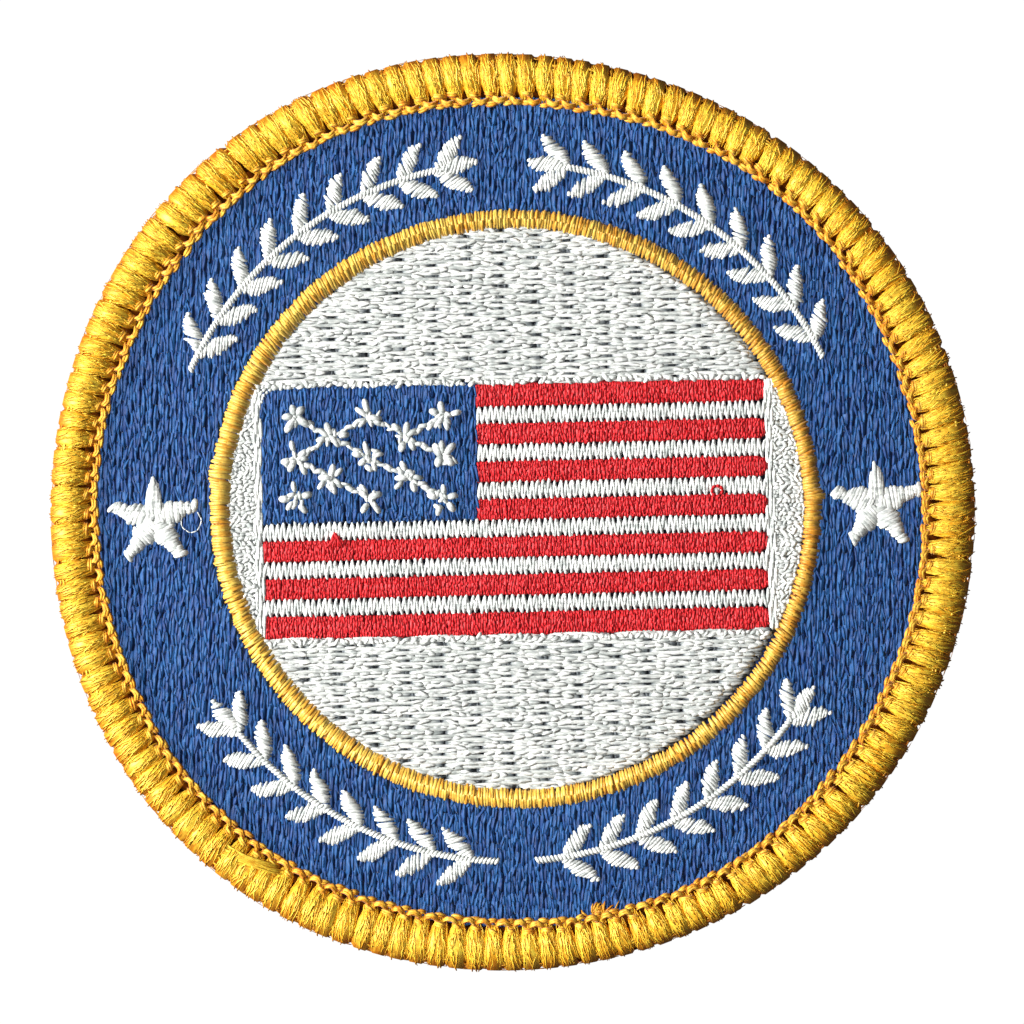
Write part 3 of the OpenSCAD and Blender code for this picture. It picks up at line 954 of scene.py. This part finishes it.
def small_star(middle, full, rng):
    way = polar(np.radians(90 + 72 * np.arange(5) + rng.normal(0, 15, 5)))
    reach = rng.uniform(0.95, 1.5, 5)[:, None]
    if full:
        arms = flag_sewn(middle + way * 0.1, middle + way * reach, rng, rise=0.4, low=STAR_LOW, sway=0.05)
        points = lay(FAT, arms, rng, wide=(0.62, 0.8), high=0.5, shade=STAR_SHADE)
    else:
        skew = 0.12 * np.stack([-way[:, 1], way[:, 0]], 1) * rng.choice((-1, 1), (5, 1))
        foot = middle + way * (reach - np.where(rng.random(5) < 0.4, 1.15, 0.72)[:, None])
        tips = flag_sewn(foot, middle + way * reach + skew, rng, rise=0.36, low=STAR_LOW, sway=0.04)
        points = lay(BLOB, tips, rng, wide=(0.42, 0.64), high=0.46, shade=STAR_SHADE)
    lump = polar(rng.uniform(0, math.pi, 6), 0.34)
    core = middle + rng.normal(0, 0.34, (6, 2))
    lumps = flag_sewn(core - lump, core + lump, rng, rise=0.34, low=STAR_LOW, sway=0.04)
    return [points, lay(BLOB, lumps, rng, wide=(0.3, 0.46), high=0.36, shade=STAR_SHADE)]


star_middles = {}
for number, place in enumerate(STAR_PLACES, 1):
    across, down = STAR_INSET + np.array(place) * STAR_STEP
    middle = np.array([-FLAG_X + across, FLAG_Y - down]) + flag_rng.normal(0, 0.07, 2)
    star_middles[place] = middle
    batches = small_star(middle, number in FULL_STARS, flag_rng)
    make_piece(f"canton_star_{number}_satin", batches, WHITE, "white_thread", f"canton_star_{number}")

# %% [markdown]
# ## Jump threads
# The thread that ran from star to star was never trimmed, and the machine locked it down on its
# way, so knotted links cross the blue between the stars, and some of them lie double. A link is a
# row of five short fat stitches that lean to one side and the other, like a loose rope.

# %% Jump threads between the small stars
JUMPS = (
    ((0, 0), (1, 1)), ((1, 1), (2, 2)), ((2, 2), (3, 3)), ((3, 3), (4, 4)), ((0, 2), (1, 3)),
    ((1, 3), (2, 4)), ((2, 0), (1, 1)), ((2, 0), (3, 1)), ((3, 1), (4, 2)), ((3, 1), (4, 0)),
    ((4, 0), (3, 1)), ((1, 1), (0, 2)), ((0, 0), (1, 1)),
)
knots = np.linspace(0.12, 0.88, 6)
starts, finals = [], []
for first, last in JUMPS:
    a, b = star_middles[first], star_middles[last]
    way = (b - a) / np.linalg.norm(b - a)
    side = np.array([-way[1], way[0]])
    for k, (k0, k1) in enumerate(zip(knots[:-1], knots[1:])):
        twist = 0.16 if k % 2 else -0.1
        starts.append(a + (b - a) * (k0 - 0.04) - side * (twist + flag_rng.normal(0, 0.08)))
        finals.append(a + (b - a) * (k1 + 0.04) + side * (twist + flag_rng.normal(0, 0.08)))
path = flag_sewn(starts, finals, flag_rng, rise=0.28, low=STAR_LOW, sway=0.05)
jumps = lay(BLOB, path, flag_rng, wide=(0.28, 0.56), high=0.4, shade=STAR_SHADE)
make_piece("jump_threads", [jumps], WHITE, "white_thread")

# %% [markdown]
# ## The large stars
# Four arms of a large star are satin laid across them, and the stitches shorten towards the tip,
# but never to nothing, because a needle can't sew a point. The fifth arm, which points up, is sewn
# along its length instead, as a sheaf of stitches that is longest in its middle.

# %% Large stars
STAR_R, WAIST_R, TIP_HALF = 3.65, 1.75, 0.4
ARM_STEP, ARM_LEAN = 0.25, 0.2
SHEAF = np.arange(-3, 4)


def big_star(x, rng):
    starts, finals = [], []
    half, foot = WAIST_R * math.sin(math.radians(36)), WAIST_R * math.cos(math.radians(36))
    for arm in range(5):
        way = math.radians(90 + 72 * arm)
        axis, across = polar(way), polar(way + math.pi / 2)
        if arm == 0:
            for k in SHEAF:
                shift = half * k / 4
                starts.append(across * shift * 0.7 - axis * 0.7 + rng.normal(0, 0.12, 2))
                out = STAR_R - 0.32 * abs(k)
                finals.append(across * shift * 0.45 + axis * out + rng.normal(0, 0.06, 2))
            continue
        for out in np.arange(0.35, STAR_R, ARM_STEP):
            wide = max(half * (STAR_R - out) / (STAR_R - foot), TIP_HALF) if out > foot else half * 0.9
            aside = across * (wide + 0.1)
            starts.append(axis * (out - ARM_LEAN) - aside + rng.normal(0, 0.07, 2))
            finals.append(axis * (out + ARM_LEAN) + aside + rng.normal(0, 0.07, 2))
    place = polar(TILT, x)
    low = RAISED_Z - 0.1
    path = sewn(tilted(starts, place), tilted(finals, place), rng, rise=0.45, low=low, sway=0.03)
    return lay(FAT, path, rng, wide=(0.42, 0.58), high=0.2, soft=0.5)


star_rng = np.random.default_rng(53)
for name, x in (("star_left", -29.35), ("star_right", 30.3)):
    make_piece(f"{name}_satin", [big_star(x, star_rng)], WHITE, "white_thread", name)

# %% [markdown]
# ## A loose filament
# Beside the left star one white filament has come free and lies in a loop on the blue. It is a
# chain of short thin strands on an open circle, so the same layer of stitches can make it.

# %% A loose filament beside the left star
LOOP_AT, LOOP_R, LOOP_PARTS = np.array([-26.3, -0.75]), 0.85, 9
loop_points = LOOP_AT + polar(np.radians(np.linspace(150, 420, LOOP_PARTS + 1)), LOOP_R)
loop_points = loop_points + star_rng.normal(0, 0.06, loop_points.shape)
loop_path = sewn(loop_points[:-1], loop_points[1:], star_rng, rise=0.04, low=RAISED_Z + 0.02, bow=-0.05)
filament = lay(THIN, loop_path, star_rng, wide=0.13, high=0.12)
make_piece("loose_filament", [filament], WHITE, "white_thread")

# %% [markdown]
# ## The laurel sprays
# Pairs of leaves grow along a curved stem. A sewn leaf is satin that slants across it, long in the
# middle and short towards both tips. The stem is a thin rope of short slanting stitches. A spray is
# worked out from its tip to its foot, so that a leaf always stands at its end.

# %% Laurels
STEM_R, STEM_HALF, STEM_STEP, STEM_LEAN = 28.825, 0.26, 0.32, 0.36
LEAF_L, LEAF_W, LEAF_ANGLE, LEAF_PITCH = 3.6, 1.45, math.radians(40.0), 3.2
LEAF_STEP, LEAF_LEAN = 0.27, 0.55


def leaf_stitches(root, heading, rng, starts, finals):
    axis, across = polar(heading), polar(heading + math.pi / 2)
    for out in np.arange(0.2, LEAF_L - 0.05, LEAF_STEP):
        wide = LEAF_W / 2 * math.sin(math.pi * out / LEAF_L) ** 0.8
        slant = LEAF_LEAN * wide
        starts.append(root + axis * (out - slant) - across * wide + rng.normal(0, 0.06, 2))
        finals.append(root + axis * (out + slant) + across * wide + rng.normal(0, 0.06, 2))


def laurel(first, last, rng):
    """A spray from one angle to another, in degrees round the patch."""
    grow = 1 if last > first else -1
    per_mm = math.degrees(1 / STEM_R)
    stem_turn = abs(last - first) - LEAF_L * per_mm
    starts, finals = [], []
    for i in range(math.floor(stem_turn / per_mm / LEAF_PITCH) + 1):
        angle = math.radians(first + grow * (stem_turn - i * LEAF_PITCH * per_mm)) + TILT
        root = polar(angle, STEM_R)
        heading = angle + grow * math.pi / 2
        for side in (-1, 1):
            leaf_stitches(root, heading + side * LEAF_ANGLE, rng, starts, finals)
        if i == 0:
            leaf_stitches(root, heading, rng, starts, finals)
    leaves = sewn(starts, finals, rng, rise=0.38, low=RAISED_Z - 0.08)
    turns = np.radians(np.arange(first, first + grow * stem_turn, grow * STEM_STEP * per_mm)) + TILT
    skew = grow * math.radians(STEM_LEAN * per_mm)
    inner, outer = polar(turns, STEM_R - STEM_HALF), polar(turns + skew, STEM_R + STEM_HALF)
    stem = sewn(inner, outer, rng, rise=0.4, low=RAISED_Z - 0.05)
    return [
        lay(THIN, leaves, rng, wide=(0.32, 0.44), high=0.28, soft=0.3),
        lay(THIN, stem, rng, wide=0.36, high=0.32, soft=0.3),
    ]


laurel_rng = np.random.default_rng(61)
for name, first, last in (
    ("laurel_upper_left", 155, 94), ("laurel_upper_right", 25, 86),
    ("laurel_lower_left", 267, 211), ("laurel_lower_right", -87, -31),
):
    make_piece(f"{name}_satin", laurel(first, last, laurel_rng), WHITE, "white_thread", name)

# %% [markdown]
# ## The overlocked border
# An overlocking machine wraps bulky, crimped yarn round the cloth's edge. Each wrap stands as a rib,
# and each rib is a loose bundle of fibres. A ridged ring could be spun from one profile, but it
# would look moulded. So a rib is one fat stitch that follows the border's section from the inner
# foot, over the crown and under the cloth, with many short fibres lain over it. The real border is
# guided by hand, so its two edges wander, and slow waves round the ring give it that.

# %% Section of the border
SECTION_R, SECTION_Z = 36.5, 1.25
SECTION_WIDE, SECTION_TALL = 1.42, 1.16
CROWN_IN = 0.35
# The share of a wrap at which it turns flat under the cloth, and how far in it goes from there
UNDER, UNDER_REACH = 0.8, 1.3
FOOT_OUT = 0.85
RIB_LEAN = 0.25
OUTER_MORE, INNER_LESS = 0.24, 0.14
# Where the inner edge's waves begin to give way to the outer edge's, and over what width
WAVES_FROM, WAVES_OVER = 35.2, 2.6
# Waves of the two edges: how many round the ring, height in millimetres, and phase in degrees
OUTER_WAVES = ((2, 0.15, -4.0), (3, 0.27, -2.0), (4, 0.12, -173.0))
INNER_WAVES = ((2, 0.13, 18.0), (4, 0.19, -169.0), (6, 0.1, 44.0))


def waves(turn, parts):
    """How far a hand-guided edge strays from a true circle, at each angle."""
    return sum(size * np.cos(count * turn + math.radians(phase)) for count, size, phase in parts)


def section(s):
    """Distance from the patch's middle and height, at share s of the way round the wrap."""
    phi = np.radians(190 - 280 * np.minimum(s / UNDER, 1.0))
    r = SECTION_R + SECTION_WIDE * np.cos(phi) - CROWN_IN * np.maximum(np.sin(phi), 0)
    r = r - FOOT_OUT * np.clip(1 - s / 0.15, 0, 1)
    z = SECTION_Z + SECTION_TALL * np.sin(phi)
    return r - UNDER_REACH * np.maximum(s - UNDER, 0) / (1 - UNDER), z


def on_rib(angle, s, q, out):
    """A point of a rib: q millimetres across it, out millimetres above the section."""
    r, z = section(s)
    r1, z1 = section(np.clip(s + 0.01, 0, 1))
    r0, z0 = section(np.clip(s - 0.01, 0, 1))
    run = np.hypot(r1 - r0, z1 - z0)
    r, z = r - (z1 - z0) / run * out, z + (r1 - r0) / run * out
    turn = angle + (RIB_LEAN * np.minimum(s / 0.5, 1) + q) / PATCH_R
    outer = np.clip((r - WAVES_FROM) / WAVES_OVER, 0, 1)
    r = r + outer * (OUTER_MORE + waves(turn, OUTER_WAVES)) + (1 - outer) * waves(turn, INNER_WAVES)
    return np.stack(np.broadcast_arrays(r * np.cos(turn), r * np.sin(turn), z), -1)


print("radius and height of the wrap's foot:", *np.round(section(0.0), 2))

# %% The body of a rib
RIB_HALF, RIB_DEEP, RIB_SUNK = 1.0, 0.56, 0.34
FOOT_SHARE, FOOT_END = 0.6, 0.36
# How much the painted shade darkens the side of the border
RIM_DARK = 0.48
border_rng = np.random.default_rng(71)
rib_angle = 2 * math.pi * (np.arange(RIBS) + border_rng.normal(0, 0.05, RIBS)) / RIBS


def squeezed(s):
    """How far a rib spreads: pulled together at its foot, and full from a third of the way."""
    return FOOT_SHARE + (1 - FOOT_SHARE) * np.clip(s / FOOT_END, 0, 1)


def painted_rim_shade(s, depth=RIM_DARK):
    """Painted shade: the side of the border is painted browner than its crown."""
    return 1 - depth * np.clip((s - 0.4) / 0.08, 0, 1)


def body_follow(t):
    return on_rib(rib_angle[:, None], t, 0.0, -RIB_SUNK)


def body_up(t):
    return on_rib(rib_angle[:, None], t, 0.0, 0.0) - body_follow(t)


# The ribs carry the painted shade on the border's side.
bodies = lay(BODY, body_follow, border_rng, wide=about(2 * RIB_HALF, 0.04), high=2 * RIB_DEEP, up=body_up,
             soft=0.75, shade=painted_rim_shade, taper=squeezed)
print("ribs:", RIBS, "faces in all:", len(bodies["counts"]))

# %% [markdown]
# The fibres lie on the dome of each rib, so their place across it gives their height. They reach
# from the inner foot over the crown to the outer side, which is all that is seen of a rib, and cross
# it at a slant, as crimped yarn does. Looser fibres bridge the grooves at the outer side, so that
# the outline is fuzzy more than scalloped.

# %% Fibres on the ribs
FIBRES, FIBRES_END, FIBRES_ASIDE = 38, 0.52, 0.96


def rib_height(q):
    """The domed surface of a rib, as height over the section, q millimetres off its middle."""
    return RIB_DEEP * np.sqrt(np.clip(1 - (q / RIB_HALF) ** 2, 0.03, 1)) - RIB_SUNK


def strands(angle, across, slant, first, last, wave, rng):
    """Follow and upward functions for fibres that lie on the domes of the ribs."""
    phase = rng.uniform(0, 2 * math.pi, (len(angle), 1))

    def place(t):
        s = first + (last - first) * t
        q = across + slant * (2 * t - 1) + wave * np.sin(9 * t + phase)
        q = np.clip(q, -FIBRES_ASIDE, FIBRES_ASIDE)
        return s, q * squeezed(s), rib_height(q) * squeezed(s)

    def follow(t):
        return on_rib(angle, *place(t))

    def outward(t):
        s, q, out = place(t)
        over = on_rib(angle, s, q + 0.05 * q / RIB_HALF**2, out + 0.05 * (out + RIB_SUNK) / RIB_DEEP**2)
        return over - on_rib(angle, s, q, out)

    return follow, outward


column = (RIBS * FIBRES, 1)
middle, half = border_rng.uniform(0.04, 0.44, column), border_rng.uniform(0.05, 0.14, column)
first, last = np.clip(middle - half, 0.01, 1), np.minimum(middle + half, FIBRES_END)
across = border_rng.uniform(-FIBRES_ASIDE, FIBRES_ASIDE, column)
slant = border_rng.normal(0.1, 0.16, column)
angle = np.repeat(rib_angle, FIBRES)[:, None]
follow, outward = strands(angle, across, slant, first, last, 0.04, border_rng)
# The fibres carry the same painted shade on the border's side.
fibres = lay(HAIR, follow, border_rng, wide=(0.12, 0.24), high=0.045, up=outward, soft=0.85,
             shade=lambda t: painted_rim_shade(first + (last - first) * t, 0.4))
print("fibres:", len(angle))

# %% Fibres across the grooves
FUZZ = 4
column = (RIBS * FUZZ, 1)
groove_angle = np.repeat(rib_angle, FUZZ)[:, None] + math.pi / RIBS
fuzz_s, fuzz_q = border_rng.uniform(0.36, 0.56, column), border_rng.normal(0, 0.12, column)
fuzz_turn, fuzz_half = border_rng.normal(0, 0.008, column), border_rng.uniform(0.25, 0.45, column)
fuzz_out = border_rng.uniform(-0.16, -0.02, column)


def fuzz_follow(t, out=fuzz_out):
    swing = 2 * t - 1
    return on_rib(groove_angle, fuzz_s + fuzz_turn * swing, fuzz_q + fuzz_half * swing, out)


def fuzz_up(t):
    return fuzz_follow(t, 0.3) - fuzz_follow(t, 0.0)


# The fibres across the grooves carry the painted shade on the border's side too.
fuzz = lay(HAIR, fuzz_follow, border_rng, wide=(0.2, 0.38), high=0.05, up=fuzz_up, soft=0.9,
           shade=painted_rim_shade(fuzz_s, 0.45))
print("fibres across the grooves:", len(groove_angle))

# %% [markdown]
# Where the border closes, the yarn's two ends are sewn in as a loose bundle across the ribs. Each
# end of the bundle is a place given by its angle and radius, and the strands spread round it.

# %% The tails, and the wraps as one piece
TAIL_STRANDS = 22
tail_ends = []
for angle, radius, turn_spread, spread in ((229.0, 36.7, 0.008, 0.3), (236.5, 35.0, 0.012, 0.2)):
    turn = math.radians(angle) + border_rng.normal(0, turn_spread, TAIL_STRANDS)
    tail_ends.append(polar(turn, radius + border_rng.normal(0, spread, TAIL_STRANDS)))
tail_rise = 0.6 + 0.1 * border_rng.random(TAIL_STRANDS)
tail_path = sewn(*tail_ends, border_rng, rise=tail_rise, low=1.85, sway=0.12, bow=-0.2)
tails = lay(LONG, tail_path, border_rng, wide=(0.16, 0.34), high=0.2, soft=0.5)
make_piece("merrow_wraps", [bodies, fibres, fuzz, tails], YARN, "gold_thread", "merrow_border")

# %% [markdown]
# Between two ribs the real border is deep brown, because the wraps under it fill the groove and lie
# in its shade. A plain ring inside the ribs, in the dark brown finish for shade, closes the grooves
# with painted shade. It is an oval spun round the patch, and the chain will lie on a flatter one.

# %% The ring inside the border
CORE_DEEP = 0.3


def spun_ring(sides, wide, tall, radius, height):
    """An oval of the given half-width and half-height, spun into a ring."""
    ring = bmesh.new()
    upright = Matrix.Rotation(math.pi / 2, 3, "X")
    bmesh.ops.create_circle(ring, cap_ends=False, segments=sides, radius=MM)
    bmesh.ops.rotate(ring, verts=ring.verts, cent=(0, 0, 0), matrix=upright)
    bmesh.ops.scale(ring, verts=ring.verts, vec=(wide, 1, tall))
    bmesh.ops.translate(ring, verts=ring.verts, vec=(radius * MM, 0, height * MM))
    bmesh.ops.spin(ring, geom=ring.verts[:] + ring.edges[:], cent=(0, 0, 0), axis=(0, 0, 1),
                   angle=2 * math.pi, steps=RIBS, use_merge=True)
    return ring


core = spun_ring(16, SECTION_WIDE - CORE_DEEP, SECTION_TALL - CORE_DEEP, SECTION_R, SECTION_Z)
mesh_piece("merrow_core", core, SHADED_CORE, "gold_thread")

# %% [markdown]
# ## The chain
# On the border's inner side the two threads of the machine lock into a small chain. Seen from above
# it is a rope of plump drops. Here each rib has three links of two plies each: a long one that bows
# over from rib to rib, one that goes out under the rib, and one that lies along the blue. They lie
# on a flat bed in the same dark brown finish, which hides the blue between them with painted shade.

# %% Chain
STEP = 2 * math.pi / RIBS
LINKS = (
    # inner start, outer end, first step, last step, rise, bow, width of a ply
    (34.72, 34.95, -0.06, 0.74, 0.78, 0.68, 0.4),
    (34.98, 35.22, 0.5, 1.14, 0.74, 0.05, 0.34),
    (34.44, 34.3, 0.44, 1.08, 0.5, 0.16, 0.32),
)
BED_R, BED_HALF, BED_HIGH = 35.0, 0.75, 0.24
mesh_piece("chain_bed", spun_ring(8, BED_HALF, BED_HIGH, BED_R, FIELD_TOP - 0.1), SHADED_CORE, "gold_thread")

chain_rng = np.random.default_rng(83)
chain_angle = rib_angle + 0.35 / PATCH_R
plies = []
for start_r, end_r, first, last, rise, bow, width in LINKS:
    loose = chain_rng.normal(0, 0.08, (2, RIBS, 2))
    for aside in (-0.09, 0.09):
        points = []
        for radius, step, slip in ((start_r, first, loose[0]), (end_r, last, loose[1])):
            angle = chain_angle + step * STEP
            points.append(polar(angle, radius + aside - INNER_LESS + waves(angle, INNER_WAVES)) + slip)
        path = sewn(*points, chain_rng, rise=rise, low=FIELD_TOP - 0.05, sway=0.04, bow=bow)
        plies.append(lay(FLECK, path, chain_rng, wide=(0.85 * width, 1.2 * width), high=0.4, soft=0.1))
make_piece("chain_links", plies, CORD, "gold_thread", "border_chain")

# %% [markdown]
# ## Stray threads
# A patch that has been handled has pulled threads. Here a tuft of the border's yarn lies over the
# blue field near the bottom, and red thread has strayed onto two white stripes. One place is a loop,
# a chain of short strands on a circle as for the loose filament, and one is a peak of pulled strands.

# %% A tuft of yarn
stray_rng = np.random.default_rng(97)
TUFT_AT, TUFT_FIBRES = np.array([7.7, -33.3]), 34
tuft_start = TUFT_AT + stray_rng.normal(0, 1, (TUFT_FIBRES, 2)) * (0.5, 0.16)
tuft_way = polar(np.radians(stray_rng.normal(95, 38, TUFT_FIBRES)))
tuft_end = tuft_start + stray_rng.uniform(0.4, 1.3, (TUFT_FIBRES, 1)) * tuft_way
tuft_path = sewn(tuft_start, tuft_end, stray_rng, rise=0.3, low=FIELD_TOP, sway=0.2, bow=0.2)
tuft = lay(THIN, tuft_path, stray_rng, wide=(0.1, 0.26), high=0.1, shade=0.8)
make_piece("loose_tuft", [tuft], YARN, "gold_thread")

# %% Stray red threads
CURL_AT, CURL_REACH = np.array([17.1, 1.75]), (0.42, 0.36)
turns = np.radians(np.linspace(-40, 250, 7) + stray_rng.normal(0, 6, 7))
points = CURL_AT + polar(turns) * CURL_REACH
path = sewn(points[:-1], points[1:], stray_rng, rise=0.06, low=RAISED_Z + 0.08, bow=-0.1)
curl = lay(LONG, path, stray_rng, wide=0.34, high=0.24, soft=0.4)
PEAK_AT, PEAK_STRANDS = np.array([-14.3, -1.75]), 9
feet = PEAK_AT + np.stack([np.linspace(-0.85, 0.5, PEAK_STRANDS), np.full(PEAK_STRANDS, -1.15)], 1)
tips = PEAK_AT + stray_rng.normal(0, 0.13, (PEAK_STRANDS, 2))
path = sewn(feet, tips, stray_rng, rise=0.16, low=RAISED_Z + 0.02, sway=0.06)
peak = lay(THIN, path, stray_rng, wide=(0.16, 0.3), high=0.16, soft=0.4)
make_piece("stray_red_threads", [curl, peak], RED, "red_thread")
print("triangles in all:", sum(tally.values()), "in the largest piece:", max(tally.values()))

# %% [markdown]
# ## The floor
# The patch lies on a plain pale surface. It shines a little by itself, so that it stays white right
# up to the patch and no grey shadow spoils the fuzzy outline, and it lights nothing.

# %% Floor
floor_shape = bmesh.new()
bmesh.ops.create_grid(floor_shape, x_segments=1, y_segments=1, size=1.5)
floor_mesh = bpy.data.meshes.new("floor")
floor_shape.to_mesh(floor_mesh)
floor_shape.free()
paper = Finish("white_paper", {
    "Base Color": (0.02, 0.02, 0.02, 1), "Roughness": 1.0, "Specular IOR Level": 0.0,
    "Emission Color": PLAIN, "Emission Strength": 1.0,
})
floor_mesh.materials.append(paper.material)
floor = show("floor", floor_mesh)
floor.visible_diffuse = False
floor.visible_glossy = False
print("floor width in metres:", floor.dimensions.x)

# %% [markdown]
# ## Light and camera
# The real patch was lit from the left, low enough for every rib and stitch to throw a short
# shadow. Hard shadows alone would leave the grooves black, so two wide lights stand at one place:
# one throws shadows and one doesn't. A weak fill comes from everywhere else. The camera looks
# straight down, from far off with a long lens, as a flatbed scanner sees a patch.

# %% Lights and camera
LIGHT_AT, LIGHT_SIZE = Vector((-0.5, 0.04, 0.27)), (0.25, 0.4)
LENS, SENSOR, VIEW_WIDTH = 150, 36, 0.08455
VIEW_ASIDE, VIEW_UP = 0.00017, 0.0013


def key_light(name, watts, shadow):
    data = bpy.data.lights.new(name, "AREA")
    data.shape = "RECTANGLE"
    data.size, data.size_y = LIGHT_SIZE
    data.energy = watts
    data.use_shadow = shadow
    light = show(name, data)
    light.location = LIGHT_AT
    light.rotation_euler = (-LIGHT_AT).to_track_quat("-Z", "Y").to_euler()


key_light("key", watts=4.1, shadow=True)
key_light("soft_key", watts=6.6, shadow=False)
world = bpy.data.worlds.new("studio")
world.use_nodes = True
world.node_tree.nodes["Background"].inputs["Color"].default_value = PLAIN
world.node_tree.nodes["Background"].inputs["Strength"].default_value = 0.18
bpy.context.scene.world = world
bpy.context.scene.view_settings.view_transform = "Standard"
bpy.context.scene.view_settings.gamma = 0.92

camera_data = bpy.data.cameras.new("camera")
camera_data.lens = LENS
camera_data.sensor_width = SENSOR
camera = show("camera", camera_data)
camera.location = (VIEW_ASIDE, 0.0, VIEW_WIDTH * LENS / SENSOR + VIEW_UP)
bpy.context.scene.camera = camera
print("camera height:", round(camera.location.z, 4))
